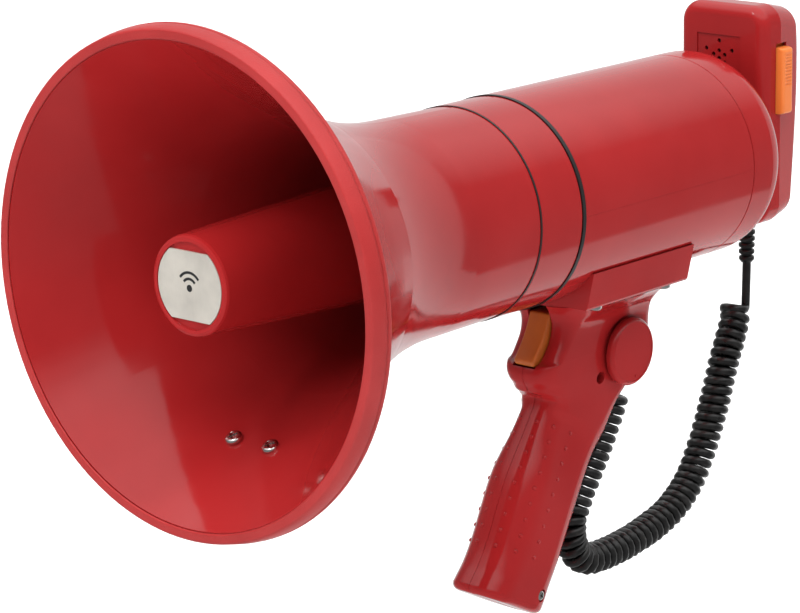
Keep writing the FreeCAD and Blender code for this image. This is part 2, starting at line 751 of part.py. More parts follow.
def handle_screws():
    body = new_body("handle_screws")
    for back, drop, seat in HANDLE_SCREWS:
        rod(body, "YZ_Plane", -12.0, seat + 0.5, back, -drop, 1.5)
        rod(body, "YZ_Plane", seat, seat + 2.2, back, -drop, 2.9)


def trigger():
    """A finger lever with a hollowed face, hung from a cross pin at its top."""
    body = new_body("trigger")
    half = size("trigger_half")
    back, drop = size("trigger_pivot_back"), size("trigger_pivot_drop")
    prism(body, "YZ_Plane", -half, half, [
        (247.4, -59.4), (234.2, -81.6, 36.0), (235.2, -84.4), (239.0, -85.2), (250.5, -81.5),
        (260.0, -66.5), (260.0, -59.4),
    ])
    rod(body, "YZ_Plane", -half - 1.0, half + 1.0, back + 0.4, -drop - 3.0,
        size("pin_radius") + size("running_gap"), adds=False)


def trigger_pin():
    body = new_body("trigger_pin")
    back, drop = size("trigger_pivot_back"), size("trigger_pivot_drop")
    rod(body, "YZ_Plane", -size("slot_half"), size("slot_half"), back + 0.4, -drop - 3.0,
        size("pin_radius"))


def helix_spring(name, back, up, across, coil, wire, pitch, turns, along):
    """A wound spring as a Part sweep of a round wire along a helix."""
    helix = doc.addObject("Part::Helix", name + "_path")
    helix.Pitch = pitch
    helix.Height = pitch * turns
    helix.Radius = coil
    ring = doc.addObject("Part::Circle", name + "_wire")
    ring.Radius = wire
    ring.Placement = FreeCAD.Placement(
        FreeCAD.Vector(coil, 0, 0), FreeCAD.Rotation(FreeCAD.Vector(1, 0, 0), 90))
    spring = doc.addObject("Part::Sweep", name)
    spring.Sections = [ring]
    spring.Spine = (helix, ["Edge1"])
    spring.Solid = True
    spring.Frenet = True
    doc.recompute()
    turn = FreeCAD.Rotation(FreeCAD.Vector(0, 0, 1), FreeCAD.Vector(*along))
    place = FreeCAD.Vector(across, back - SIZES["grip_back"], up + SIZES["grip_drop"])
    spring.Placement = FreeCAD.Placement(place, turn)
    spring.Label = name
    parts.append(spring)


def trigger_spring():
    helix_spring("trigger_spring", 258.9, -71.3, 0.0, 2.0, 0.35, 1.2, 4.0, (0, 1, 0))


def talk_switch():
    body = new_body("talk_switch")
    box(body, "YZ_Plane", -5.5, 5.5, 264.3, -84.0, 284.0, -68.0)
    box(body, "YZ_Plane", -1.5, 1.5, 256.4, -79.5, 264.3, -76.5)


# ---------------------------------------------------------------- volume control

def volume_knob():
    body = new_body("volume_knob")
    back, drop, radius = size("knob_back"), size("knob_drop"), size("knob_radius")
    rod(body, "YZ_Plane", size("knob_inner"), size("knob_outer"), back, -drop, radius)
    rod(body, "YZ_Plane", 13.6, size("knob_inner"), back, -drop, 4.0)
    outer = SIZES["knob_outer"]
    softened(body, 0.9, lambda middle, edge: abs(middle.x - outer) < 0.01, "Chamfer")
    rod(body, "YZ_Plane", 10.0, 19.0, back, -drop, size("spindle_radius"), adds=False)


def knob_spindle():
    body = new_body("knob_spindle")
    rod(body, "YZ_Plane", 2.0, 19.0, size("knob_back"), -size("knob_drop"), size("spindle_radius"))


def volume_control():
    body = new_body("volume_control")
    back, drop = size("knob_back"), size("knob_drop")
    rod(body, "YZ_Plane", -6.0, 6.0, back, -drop, 8.5)
    rod(body, "YZ_Plane", 6.0, 12.6, back, -drop, 4.2)
    rod(body, "YZ_Plane", 1.0, 14.0, back, -drop, size("spindle_radius") + size("running_gap"),
        adds=False)


# ---------------------------------------------------------------- microphone

def mic_section(body, back, half, bottom, top, corner):
    sketch = new_sketch(body, "XZ_Plane", -as_size(back))
    outline(sketch, rounded(-half, -bottom, half, top, corner))
    return sketch


BUTTON_GAP = 0.4


def mic_shell(name, outer_at, part_at, outer_side):
    """A rounded shell that draws in a little behind the parting line."""
    body = new_body(name)
    half, corner, wall = size("mic_half"), size("mic_corner"), SIZES["mic_wall"]
    sections = []
    for at in sorted((part_at, outer_at), reverse=True):
        beyond = max(at - SIZES["mic_part"], 0.0)
        sections.append(mic_section(
            body, at, half - beyond * 0.07, size("mic_bottom") - beyond * 0.15,
            size("mic_top") - beyond * 0.2, corner))
    loft(body, sections, ruled=True)
    softened(body, 6.0, lambda middle, edge: abs(middle.y - outer_at) < 0.01)
    low, high = sorted((part_at, outer_at + outer_side * wall))
    span(body, "XZ_Plane", low, high, lambda sketch: outline(sketch, rounded(
        -(half - wall), -33.0, half - wall, size("mic_top") - 4.0 - wall, corner - wall)), adds=False)
    slot_end = (SIZES["button_front"] - BUTTON_GAP if outer_side > 0
                else SIZES["button_back"] + BUTTON_GAP)
    low, high = sorted((part_at, slot_end))
    box(body, "XZ_Plane", low, high, 20.0, size("button_low") - BUTTON_GAP,
        30.0, size("button_high") + 2.2, adds=False)
    return body


GRILLE_ASIDE = -1.8


def grille_spots(high):
    """A centre hole, six round it and six further out."""
    spots = [(GRILLE_ASIDE, high)]
    for ring, first in ((4.0, 30.0), (9.2, 30.0)):
        turns = [math.radians(first + 60.0 * index) for index in range(6)]
        spots += [(GRILLE_ASIDE + ring * math.cos(turn), high + ring * math.sin(turn)) for turn in turns]
    return spots


def mic_back_shell():
    """The side towards the horn: a shallow recess with round vents."""
    body = mic_shell("mic_back_shell", SIZES["mic_front"], SIZES["mic_part"], 1)
    at = size("mic_front")
    box(body, "XZ_Plane", at, at + 0.7, GRILLE_ASIDE - 13.5, 32.0, GRILLE_ASIDE + 13.5, 57.0,
        adds=False)
    rods(body, "XZ_Plane", at, at + 4.0, grille_spots(44.5), 1.15, adds=False)
    for across, up in MIC_SCREWS:
        rod(body, "XZ_Plane", at + 1.0, size("mic_part"), across, up, 3.6)
        rod(body, "XZ_Plane", at + 4.0, at + 16.0, across, up, 1.2, adds=False)


def mic_front_shell():
    """The talker's side: a raised round grille and the seat of the boot."""
    body = mic_shell("mic_front_shell", SIZES["mic_back"], SIZES["mic_part"], -1)
    back = size("mic_back")
    span(body, "XZ_Plane", back - 1.0, back + 1.4, lambda sketch: outline(sketch, rounded(
        -19.0, 22.0, 19.0, 64.0, 8.0)))
    rods(body, "XZ_Plane", back - 3.0, back + 2.0, grille_spots(43.0), 1.15, adds=False)
    for across, up in MIC_SCREWS:
        rod(body, "XZ_Plane", size("mic_part"), back - 1.0, across, up, 3.4)
        rod(body, "XZ_Plane", back - 5.0, back + 1.0, across, up, 2.7, adds=False)
        rod(body, "XZ_Plane", size("mic_part"), back, across, up, 1.2, adds=False)
    rod(body, "XY_Plane", -46.0, -25.0, 0.0, size("boot_back"), 5.0, adds=False)
    prism(body, "YZ_Plane", -30.0, 30.0, [
        (back + 1.0, -50.0), (back + 1.0, 8.0), (back, 8.0), (back - 3.6, -50.0),
    ], adds=False)


MIC_SCREWS = [(-18.0, -27.0), (18.0, -27.0)]


def mic_clip():
    """A block on the microphone with an upright slot that drops over the hanger's tongue."""
    body = new_body("mic_clip")
    front, seat, top = size("cap_end") + 3.8, size("mic_front"), size("tongue_top")
    gap = 0.35
    box(body, "XZ_Plane", front, seat, -14.0, 8.0, 14.0, top + 4.0)
    box(body, "XZ_Plane", front - 1.0, front + 3.0, -5.5 - gap, 5.0, 5.5 + gap, top + gap, adds=False)
    box(body, "XZ_Plane", size("cap_end") + 6.2 - gap, size("cap_end") + 9.0 + gap,
        -10.5 - gap, 5.0, 10.5 + gap, top + gap, adds=False)


def mic_element():
    body = new_body("mic_element")
    rod(body, "XZ_Plane", 417.0, 426.0, 0.0, 43.0, 10.0)
    rod(body, "XZ_Plane", 415.5, 417.0, 0.0, 43.0, 8.0)


def mic_board():
    body = new_body("mic_board")
    box(body, "XZ_Plane", 408.0, 409.6, -14.0, -12.0, 12.0, 28.0)
    box(body, "XZ_Plane", 409.6, 414.0, 3.0, 30.0 - 10.0, 12.0, 27.0)


def mic_screws():
    body = new_body("mic_screws")
    seat = size("mic_back") - 5.0
    for spot in MIC_SCREWS:
        rods(body, "XZ_Plane", size("mic_front") + 5.0, seat + 0.4, [spot], 1.2)
        rods(body, "XZ_Plane", seat, seat + 1.8, [spot], 2.4)


def mic_switch():
    """The press-to-talk bar: a tall button with a flange inside the shells."""
    body = new_body("mic_switch")
    front, back = size("button_front"), size("button_back")
    low, high, out = size("button_low"), size("button_high"), size("button_out")
    box(body, "YZ_Plane", 24.0, out, front, low, back, high)
    limit = SIZES["button_out"]
    softened(body, 1.8, lambda middle, edge: abs(middle.x - limit) < 0.01)
    box(body, "YZ_Plane", 22.2, 24.0, front - 1.4, low - 2.2, back + 1.4, high + 2.2)


def mic_switch_spring():
    helix_spring("mic_switch_spring", 411.6, 35.0, 17.8, 2.4, 0.4, 1.3, 3.0, (1, 0, 0))


def mic_boot():
    """A tapered strain relief, bored through so that the lead runs free in it."""
    body = new_body("mic_boot")
    back, end = size("boot_back"), size("boot_end")
    rod(body, "XY_Plane", -33.0, -25.0, 0.0, back, 6.6)
    rod(body, "XY_Plane", -41.0, -33.0, 0.0, back, 5.0)
    rod(body, "XY_Plane", -53.0, -40.0, 0.0, back, 4.8)
    rod(body, "XY_Plane", -end, -53.0, 0.0, back, 4.1)
    rod(body, "XY_Plane", -80.0, -20.0, 0.0, back, size("cord_radius") + 0.4, adds=False)


# ---------------------------------------------------------------- cord

def route_tube(name, route, radius, share=0.45):
    """A tube along straight runs joined by tangent arcs; returns its bend radii."""
    spots = [FreeCAD.Vector(0, back - SIZES["grip_back"], up + SIZES["grip_drop"])
             for back, up in route]
    edges, radii, start = [], [], spots[0]
    for before, corner, after in zip(spots, spots[1:], spots[2:]):
        arriving, leaving = (corner - before).normalize(), (after - corner).normalize()
        run = min((corner - before).Length, (after - corner).Length)
        turn = arriving.getAngle(leaving)
        reach = share * run
        radii.append(reach / math.tan(turn / 2.0))
        entry, way_out = corner - arriving * reach, corner + leaving * reach
        inward = (leaving - arriving).normalize()
        top = corner + inward * (radii[-1] / math.cos(turn / 2.0) - radii[-1])
        edges += [Part.LineSegment(start, entry).toShape(), Part.Arc(entry, top, way_out).toShape()]
        start = way_out
    edges.append(Part.LineSegment(start, spots[-1]).toShape())
    path = Part.Wire(edges)
    section = Part.Wire([Part.makeCircle(radius, spots[0], spots[1] - spots[0])])
    tube = path.makePipeShell([section], True, False)
    expected = math.pi * radius * radius * path.Length
    print(f"{name}: length {path.Length:.1f} mm, volume {tube.Volume / expected:.4f} of "
          f"section times length, radii {[round(value, 1) for value in radii]}")
    feature = doc.addObject("Part::Feature", name)
    feature.Label = name
    feature.Shape = tube
    parts.append(feature)


def cord_gland():
    """The sleeve in the grip's underside that the cord goes into."""
    body = new_body("cord_gland")
    back, up = CURL_ROUTE[-1]
    stud(body, 0.0, back, up, CORD_EXIT_TILT, 0.0, 2.2, 6.4)
    stud(body, 0.0, back, up, CORD_EXIT_TILT, 2.0, 12.0, 5.2)


def cord_lead():
    route_tube("cord_lead", LEAD_ROUTE, SIZES["cord_radius"])


def cord_curl():
    route_tube("cord_curl", CURL_ROUTE, SIZES["curl_radius"])


# ---------------------------------------------------------------- build and write

def check_document():
    doc.recompute()
    for item in doc.Objects:
        if "Invalid" in item.State or "Error" in item.State:
            raise ValueError(f"{item.Label} failed: {item.State}")
    for part in parts:
        if part.Shape.isNull() or not part.Shape.isValid():
            raise ValueError(f"{part.Label}: shape is null or not valid")


def write_parts():
    os.makedirs("parts", exist_ok=True)
    for part in parts:
        part.Shape.exportStep(f"parts/{part.Label}.step")
        bounds = part.Shape.BoundBox
        print(f"{part.Label:20s} solids {len(part.Shape.Solids)} volume {part.Shape.Volume:10.1f} "
              f"x {bounds.XMin:.1f}..{bounds.XMax:.1f} y {bounds.YMin:.1f}..{bounds.YMax:.1f} "
              f"z {bounds.ZMin:.1f}..{bounds.ZMax:.1f}")


fill_sheet()
for make in (
        rim_guard, horn_bell, throat_tube, reflector_cone, name_plate, reflector_stays,
        horn_screws, horn_nuts, driver_front_plate, driver_diaphragm, voice_coil,
        driver_top_plate, driver_magnet, driver_yoke, front_gasket, middle_band, rear_gasket,
        rear_case, bulkhead, amplifier_board, heat_sink, output_transformer, capacitors,
        battery_holder, battery_cells, cell_contacts, battery_cover, cover_seal, mic_hanger,
        hanger_screws, saddle, saddle_screws):
    make()
grip_shell("grip_left", 1)
grip_shell("grip_right", -1)
for make in (
        handle_screws, trigger, trigger_pin, trigger_spring, talk_switch, volume_knob,
        knob_spindle, volume_control, mic_back_shell, mic_front_shell, mic_clip, mic_element,
        mic_board, mic_screws, mic_switch, mic_switch_spring, mic_boot, cord_gland, cord_lead,
        cord_curl):
    make()
check_document()
write_parts()
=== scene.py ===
import json
import math

import bmesh
import bpy
from mathutils import Matrix, Vector, noise


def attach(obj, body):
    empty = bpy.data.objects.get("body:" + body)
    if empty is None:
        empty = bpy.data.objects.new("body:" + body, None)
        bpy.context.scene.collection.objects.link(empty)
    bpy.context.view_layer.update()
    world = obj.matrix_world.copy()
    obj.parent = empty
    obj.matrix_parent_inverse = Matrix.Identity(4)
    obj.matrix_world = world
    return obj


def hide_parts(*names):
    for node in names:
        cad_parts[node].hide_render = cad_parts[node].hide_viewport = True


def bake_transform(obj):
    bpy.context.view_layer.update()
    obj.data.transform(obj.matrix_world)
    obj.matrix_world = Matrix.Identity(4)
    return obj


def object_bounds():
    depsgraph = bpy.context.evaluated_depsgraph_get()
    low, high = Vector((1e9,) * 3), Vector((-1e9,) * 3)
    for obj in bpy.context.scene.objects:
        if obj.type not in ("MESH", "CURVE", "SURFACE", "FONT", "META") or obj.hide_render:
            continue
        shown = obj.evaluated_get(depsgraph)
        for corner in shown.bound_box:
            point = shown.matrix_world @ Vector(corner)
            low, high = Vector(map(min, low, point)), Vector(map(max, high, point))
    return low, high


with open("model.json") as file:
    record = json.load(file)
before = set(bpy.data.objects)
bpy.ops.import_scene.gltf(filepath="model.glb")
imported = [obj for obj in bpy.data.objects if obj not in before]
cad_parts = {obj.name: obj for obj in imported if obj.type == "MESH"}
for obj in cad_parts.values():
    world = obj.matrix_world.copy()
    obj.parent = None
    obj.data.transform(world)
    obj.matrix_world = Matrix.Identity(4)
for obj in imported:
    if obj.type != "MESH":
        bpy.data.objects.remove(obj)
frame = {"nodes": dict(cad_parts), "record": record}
cad_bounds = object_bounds()
nodes = frame["nodes"]

# The horn frame of the CAD: millimetres, y back from the mouth plane, z up from the horn's axis.
# The row frame has its origin in the middle of the grip.
GRIP_BACK = 244.0
GRIP_DROP = 147.0
MM = 0.001


def at(across, back, up):
    """A point of the horn frame, in metres in the row frame."""
    return Vector((across, back - GRIP_BACK, up + GRIP_DROP)) * MM


# ---------------------------------------------------------------- camera

CAMERA_TURN = math.radians(41.834)
CAMERA_TILT = math.radians(13.741)
CAMERA_ROLL = math.radians(-1.0095)


def make_camera():
    back = Vector((math.sin(CAMERA_TURN) * math.cos(CAMERA_TILT),
                   -math.cos(CAMERA_TURN) * math.cos(CAMERA_TILT), math.sin(CAMERA_TILT)))
    level = Vector((math.cos(CAMERA_TURN), math.sin(CAMERA_TURN), 0.0))
    upright = back.cross(level)
    right = level * math.cos(CAMERA_ROLL) + upright * math.sin(CAMERA_ROLL)
    up = upright * math.cos(CAMERA_ROLL) - level * math.sin(CAMERA_ROLL)
    data = bpy.data.cameras.new("camera")
    data.sensor_width = 36.0
    data.lens = 151.14
    data.shift_x = 0.02098
    data.shift_y = -0.02869
    data.clip_start = 0.05
    data.clip_end = 20.0
    camera = bpy.data.objects.new("camera", data)
    camera.matrix_world = Matrix.LocRotScale(
        at(1004.79, -989.14, 345.11), Matrix((right, up, back)).transposed(), None)
    bpy.context.scene.collection.objects.link(camera)
    bpy.context.scene.camera = camera


make_camera()


# ---------------------------------------------------------------- mesh helpers

BOX_FACES = [(3, 2, 1, 0), (4, 5, 6, 7), (0, 1, 5, 4), (1, 2, 6, 5), (2, 3, 7, 6), (3, 0, 4, 7)]


def new_object(name, data):
    piece = bpy.data.objects.new(name, data)
    bpy.context.scene.collection.objects.link(piece)
    return piece


def mesh_object(name, points, faces, smooth_angle=35.0):
    """A mesh object whose faces meet smoothly, up to an angle in degrees."""
    mesh = bpy.data.meshes.new(name)
    mesh.from_pydata([tuple(point) for point in points], [], faces)
    tidy = bmesh.new()
    tidy.from_mesh(mesh)
    bmesh.ops.remove_doubles(tidy, verts=tidy.verts, dist=1e-7)
    bmesh.ops.recalc_face_normals(tidy, faces=tidy.faces)
    tidy.to_mesh(mesh)
    tidy.free()
    mesh.shade_smooth()
    mesh.set_sharp_from_angle(angle=math.radians(smooth_angle))
    return new_object(name, mesh)


def grid_faces(rows, columns, closed_columns=True, closed_rows=False):
    faces = []
    for row in range(rows if closed_rows else rows - 1):
        below, above = row * columns, (row + 1) % rows * columns
        for column in range(columns if closed_columns else columns - 1):
            following = (column + 1) % columns
            faces.append((below + column, below + following, above + following, above + column))
    return faces


def lathe(name, profile, centre, axis, steps=96, closed=True, smooth_angle=35.0):
    """Turns a profile of (along, radius) pairs in metres about an axis through a point."""
    axis = Vector(axis).normalized()
    side = axis.orthogonal().normalized()
    other = axis.cross(side)
    points = [
        centre + axis * along + (side * math.cos(2 * math.pi * step / steps)
                                 + other * math.sin(2 * math.pi * step / steps)) * max(radius, 1e-6)
        for along, radius in profile for step in range(steps)]
    faces = grid_faces(len(profile), steps, closed_rows=closed)
    return mesh_object(name, points, faces, smooth_angle)


def tube(name, points, radius, sides=12):
    """A round tube along points, with capped ends; its rings turn as little as they can."""
    tangents = [(points[min(i + 1, len(points) - 1)] - points[max(i - 1, 0)]).normalized()
                for i in range(len(points))]
    side = tangents[0].orthogonal().normalized()
    corners = []
    for point, tangent in zip(points, tangents):
        side = (side - tangent * side.dot(tangent)).normalized()
        other = tangent.cross(side)
        corners += [point + (side * math.cos(2 * math.pi * k / sides)
                             + other * math.sin(2 * math.pi * k / sides)) * radius
                    for k in range(sides)]
    faces = grid_faces(len(points), sides)
    faces.append(tuple(range(sides))[::-1])
    faces.append(tuple(range(len(corners) - sides, len(corners))))
    return mesh_object(name, corners, faces, 60.0)


def add_modifier(piece, kind, **settings):
    modifier = piece.modifiers.new(kind.lower(), kind)
    for key, value in settings.items():
        setattr(modifier, key, value)
    return modifier


def settle(piece):
    """Turns a piece's modifiers into plain mesh."""
    bpy.context.view_layer.update()
    evaluated = piece.evaluated_get(bpy.context.evaluated_depsgraph_get())
    piece.data = bpy.data.meshes.new_from_object(evaluated)
    piece.modifiers.clear()


def cut(piece, *cutters):
    """Takes the cutters away from a piece and deletes them."""
    for cutter in cutters:
        add_modifier(piece, "BOOLEAN", operation="DIFFERENCE", solver="EXACT", object=cutter)
    settle(piece)
    for cutter in cutters:
        bpy.data.objects.remove(cutter)


def join_as(name, made):
    """Joins several mesh objects into one."""
    merged = bmesh.new()
    for piece in made:
        merged.from_mesh(piece.data)
        bpy.data.objects.remove(piece)
    mesh = bpy.data.meshes.new(name)
    merged.to_mesh(mesh)
    merged.free()
    return new_object(name, mesh)


def finish_piece(piece, material, body, slot, *replaced):
    piece.data.materials.clear()
    piece.data.materials.append(material)
    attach(piece, body)
    if replaced:
        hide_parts(*replaced)
    return piece


def smooth_step(value, low, high):
    share = min(max((value - low) / (high - low), 0.0), 1.0)
    return share * share * (3.0 - 2.0 * share)


# ---------------------------------------------------------------- the cord's line

# the route of part.py, horn frame: (back, up) in millimetres
LEAD_ROUTE = [(420.5, -40.0), (420.9, -62.0), (420.2, -84.0)]
CURL_ROUTE = [
    (420.2, -84.0), (419.85, -95.0), (411.0, -104.5), (402.5, -116.0), (396.0, -131.0),
    (389.0, -146.0), (381.0, -161.5), (370.5, -177.0), (353.5, -188.5), (330.0, -194.5),
    (304.0, -197.5), (277.0, -196.5), (268.0, -175.0), (280.0, -156.5), (290.5, -141.5),
    (299.5, -127.0), (306.5, -114.0), (308.6, -103.4),
]
CORD_RADIUS = 2.3 * MM
COIL_RADIUS = 6.1 * MM
COIL_PITCH = 4.95 * MM
TURN_POINTS = 16
START_PHASE = math.radians(-42.0)
SWING_LENGTH = 10.0 * MM
SETTLE_LENGTH = 14.0 * MM
CLOSEST_POINTS = 0.4 * MM


def route_line(route):
    """Points read from a NURBS spline that has the route as its control points."""
    data = bpy.data.curves.new("route", "CURVE")
    data.dimensions = "3D"
    spline = data.splines.new("NURBS")
    spline.points.add(len(route) - 1)
    for point, (back, up) in zip(spline.points, route):
        point.co = (*at(0.0, back, up), 1.0)
    spline.order_u = 3
    spline.use_endpoint_u = True
    data.resolution_u = 24
    holder = new_object("route", data)
    bpy.context.view_layer.update()
    evaluated = holder.evaluated_get(bpy.context.evaluated_depsgraph_get())
    mesh = bpy.data.meshes.new_from_object(evaluated)
    line = [vertex.co.copy() for vertex in mesh.vertices]
    bpy.data.objects.remove(holder)
    bpy.data.meshes.remove(mesh)
    return line


def along_line(line, step):
    """Even points on a line of points, with the distance travelled at each."""
    spots = [(0.0, line[0].copy())]
    travelled, goal = 0.0, step
    for start, end in zip(line, line[1:]):
        length = (end - start).length
        while length > 0 and travelled + length >= goal:
            spots.append((goal, start.lerp(end, (goal - travelled) / length)))
            goal += step
        travelled += length
    return spots


def round_way(swing, phase):
    """The way out from the coil's centre line at a phase of its turn."""
    return Vector((1.0, 0.0, 0.0)) * math.cos(phase) + swing * math.sin(phase)


def cord_points():
    """The straight lead runs into the side of the first turn, whose centre hangs aside of the
    route; further turns settle round the route, and the last one swings in to the gland."""
    line = route_line(LEAD_ROUTE + CURL_ROUTE[1:])
    spots = along_line(line, COIL_PITCH / TURN_POINTS / 2)
    coil_start, coil_end = 53.0 * MM, spots[-1][0] - 11.0 * MM
    phase = START_PHASE
    points, last_phase, last_distance, travelled = [], phase, -1.0, 0.0
    for index, (distance, spot) in enumerate(spots):
        ahead = spots[min(index + 1, len(spots) - 1)][1]
        behind = spots[max(index - 1, 0)][1]
        swing = (ahead - behind).normalized().cross(Vector((1.0, 0.0, 0.0))).normalized()
        reach = COIL_RADIUS * smooth_step(distance, coil_start - SWING_LENGTH, coil_start + 1 * MM)
        reach *= 1.0 - smooth_step(distance, coil_end - 1 * MM, coil_end + SWING_LENGTH)
        reach *= 1.0 + 0.03 * noise.noise(Vector((distance * 140.0, 3.7, 0.0)))
        loose = 1.0 + 0.15 * math.exp(-max(distance - coil_start, 0.0) / (9.0 * MM))
        loose += 0.06 * noise.noise(Vector((distance * 60.0, 9.1, 0.0)))
        turning = smooth_step(distance, coil_start - 1.5 * MM, coil_start + 0.5 * MM)
        turning *= 1.0 - smooth_step(distance, coil_end - 0.5 * MM, coil_end + 1.5 * MM)
        phase += 2 * math.pi * (distance - travelled) / (COIL_PITCH * loose) * turning
        travelled = distance
        if (phase - last_phase >= 2 * math.pi / TURN_POINTS or distance - last_distance > 1.2 * MM
                or index == len(spots) - 1):
            last_phase, last_distance = phase, distance
            aside = round_way(swing, START_PHASE) * math.exp(
                -max(distance - coil_start, 0.0) / SETTLE_LENGTH)
            points.append(spot + (round_way(swing, phase) - aside) * reach)
    if (points[-1] - points[-2]).length < CLOSEST_POINTS:
        del points[-2]
    return points


def line_length(points):
    return sum((end - start).length for start, end in zip(points, points[1:]))


def make_cord():
    points = cord_points()
    piece = tube("curly_cord", points, CORD_RADIUS)
    print("cord length", round(line_length(points), 3), "points", len(points))
    return piece, points


cord, cord_path = make_cord()


# ---------------------------------------------------------------- materials

class Look:
    """A material's node tree, with short calls for the nodes that these looks share."""

    def __init__(self, name, **sockets):
        self.material = bpy.data.materials.new(name)
        self.material.use_nodes = True
        self.tree = self.material.node_tree
        self.shader = self.tree.nodes["Principled BSDF"]
        self.place = self.tree.nodes.new("ShaderNodeTexCoord").outputs["Object"]
        for socket, value in sockets.items():
            self.shader.inputs[socket.replace("_", " ")].default_value = value

    def node(self, kind, inputs=(), **settings):
        made = self.tree.nodes.new(kind)
        for key, value in settings.items():
            setattr(made, key, value)
        for key, value in dict(inputs).items():
            if isinstance(value, bpy.types.NodeSocket):
                self.tree.links.new(value, made.inputs[key])
            else:
                made.inputs[key].default_value = value
        return made

    def link(self, output, socket):
        self.tree.links.new(output, self.shader.inputs[socket])

    def stretched(self, x, y, z):
        """The object's own coordinates, scaled along each axis."""
        return self.node("ShaderNodeMapping", {"Vector": self.place, "Scale": (x, y, z)}).outputs[0]

    def noise(self, scale, detail=3.0, place=None):
        return self.node("ShaderNodeTexNoise", {
            "Vector": place or self.place, "Scale": scale, "Detail": detail,
            "Roughness": 0.5}).outputs["Fac"]

    def cells(self, scale):
        return self.node("ShaderNodeTexVoronoi", {
            "Vector": self.place, "Scale": scale}).outputs["Distance"]

    def ramp(self, value, low, high, start=0.0, end=1.0):
        """value from low..high to start..end, held at the ends."""
        return self.node("ShaderNodeMapRange", {
            "Value": value, "From Min": low, "From Max": high, "To Min": start,
            "To Max": end}).outputs[0]

    def maths(self, operation, *values):
        return self.node("ShaderNodeMath", dict(enumerate(values)), operation=operation).outputs[0]

    def bump(self, height, distance, strength, under=None):
        inputs = {"Height": height, "Distance": distance, "Strength": strength}
        if under:
            inputs["Normal"] = under
        return self.node("ShaderNodeBump", inputs).outputs["Normal"]


def mixed_colours(look, factor, first, second):
    """Mix node sockets share names between data types, so they are set by position."""
    mix = look.node("ShaderNodeMix", data_type="RGBA")
    colour_inputs = [socket for socket in mix.inputs if socket.type == "RGBA"]
    colour_inputs[0].default_value = (*first, 1.0)
    colour_inputs[1].default_value = (*second, 1.0)
    look.tree.links.new(factor, mix.inputs[0])
    return next(socket for socket in mix.outputs if socket.type == "RGBA")


def scratches(look):
    """Fine hairlines in a few directions, as handling leaves on gloss plastic."""
    total = None
    for turn in (0.3, 1.4, 2.3):
        place = look.node("ShaderNodeMapping", {
            "Vector": look.place, "Rotation": (turn, 0.6 * turn, turn),
            "Scale": (420.0, 9.0, 420.0)}).outputs[0]
        line = look.ramp(look.noise(1.0, 1.0, place), 0.73, 0.78)
        patch = look.ramp(look.noise(23.0 + 9.0 * turn, 1.0), 0.52, 0.62)
        marks = look.maths("MULTIPLY", line, patch)
        total = marks if total is None else look.maths("ADD", total, marks)
    return total


def gloss_shell(name, colour, deep, rough):
    """Moulded gloss plastic: slight colour drift, faint orange peel, hairline scuffs."""
    look = Look(name, Specular_IOR_Level=0.4, Coat_Weight=0.1, Coat_Roughness=0.08)
    drift = look.ramp(look.noise(14.0, 4.0), 0.35, 0.65)
    look.link(mixed_colours(look, drift, deep, colour), "Base Color")
    marks = scratches(look)
    worn = look.ramp(look.noise(35.0, 5.0), 0.3, 0.75, rough - 0.03, rough + 0.06)
    look.link(look.maths("ADD", worn, look.maths("MULTIPLY", marks, 0.12)), "Roughness")
    peel = look.bump(look.noise(420.0, 2.0), 0.00002, 0.35)
    look.link(look.bump(marks, -0.00001, 0.4, peel), "Normal")
    return look.material


def grained_plastic(name, colour, deep, rough, grain=0.0008, depth=0.00008, coat=0.0):
    """Moulded plastic with a pebbled grain of the given size in metres."""
    look = Look(name, Specular_IOR_Level=0.45, Coat_Weight=coat)
    pebbles = look.cells(1.0 / grain)
    fine = look.noise(2.2 / grain, 3.0)
    height = look.maths("ADD", pebbles, look.maths("MULTIPLY", fine, 0.7))
    look.link(look.bump(height, depth, 0.8), "Normal")
    drift = look.ramp(look.noise(30.0, 4.0), 0.3, 0.7)
    look.link(mixed_colours(look, drift, deep, colour), "Base Color")
    look.link(look.ramp(fine, 0.3, 0.7, rough - 0.08, rough + 0.08), "Roughness")
    return look.material


def metal(name, colour, rough, brushed=(1.0, 1.0, 1.0), depth=0.00001, scale=900.0, bare=1.0):
    """Bare or plated metal, brushed where the three scales differ; lacquered where bare < 1."""
    look = Look(name, Metallic=bare)
    lines = look.noise(scale, 3.0, look.stretched(*brushed))
    dirt = look.ramp(look.noise(60.0, 5.0), 0.35, 0.75)
    dark = tuple(channel * 0.78 for channel in colour)
    look.link(mixed_colours(look, dirt, colour, dark), "Base Color")
    look.link(look.ramp(lines, 0.3, 0.7, max(rough - 0.07, 0.03), rough + 0.09), "Roughness")
    look.link(look.bump(lines, depth, 0.5), "Normal")
    return look.material


def cord_rubber():
    """Glossy black jacket with a faint bloom of dust."""
    look = Look("cord_black", Specular_IOR_Level=0.5, Coat_Weight=0.15, Coat_Roughness=0.15)
    dust = look.ramp(look.noise(160.0, 5.0), 0.45, 0.8)
    look.link(mixed_colours(look, dust, (0.006, 0.006, 0.006), (0.022, 0.021, 0.020)), "Base Color")
    look.link(look.ramp(look.noise(300.0, 3.0), 0.3, 0.7, 0.26, 0.42), "Roughness")
    look.link(look.bump(look.noise(1500.0, 2.0), 0.00002, 0.3), "Normal")
    return look.material


def circuit_board():
    """Green lacquer over straight copper tracks."""
    look = Look("board_green", Specular_IOR_Level=0.5)
    tracks = look.node("ShaderNodeTexBrick", {
        "Vector": look.place, "Scale": 120.0, "Mortar Size": 0.02, "Brick Width": 0.8,
        "Row Height": 0.25}).outputs["Fac"]
    look.link(mixed_colours(look, tracks, (0.012, 0.07, 0.025), (0.05, 0.17, 0.05)), "Base Color")
    look.link(look.ramp(look.noise(90.0), 0.3, 0.7, 0.25, 0.4), "Roughness")
    look.link(look.bump(tracks, 0.00004, 0.6), "Normal")
    return look.material


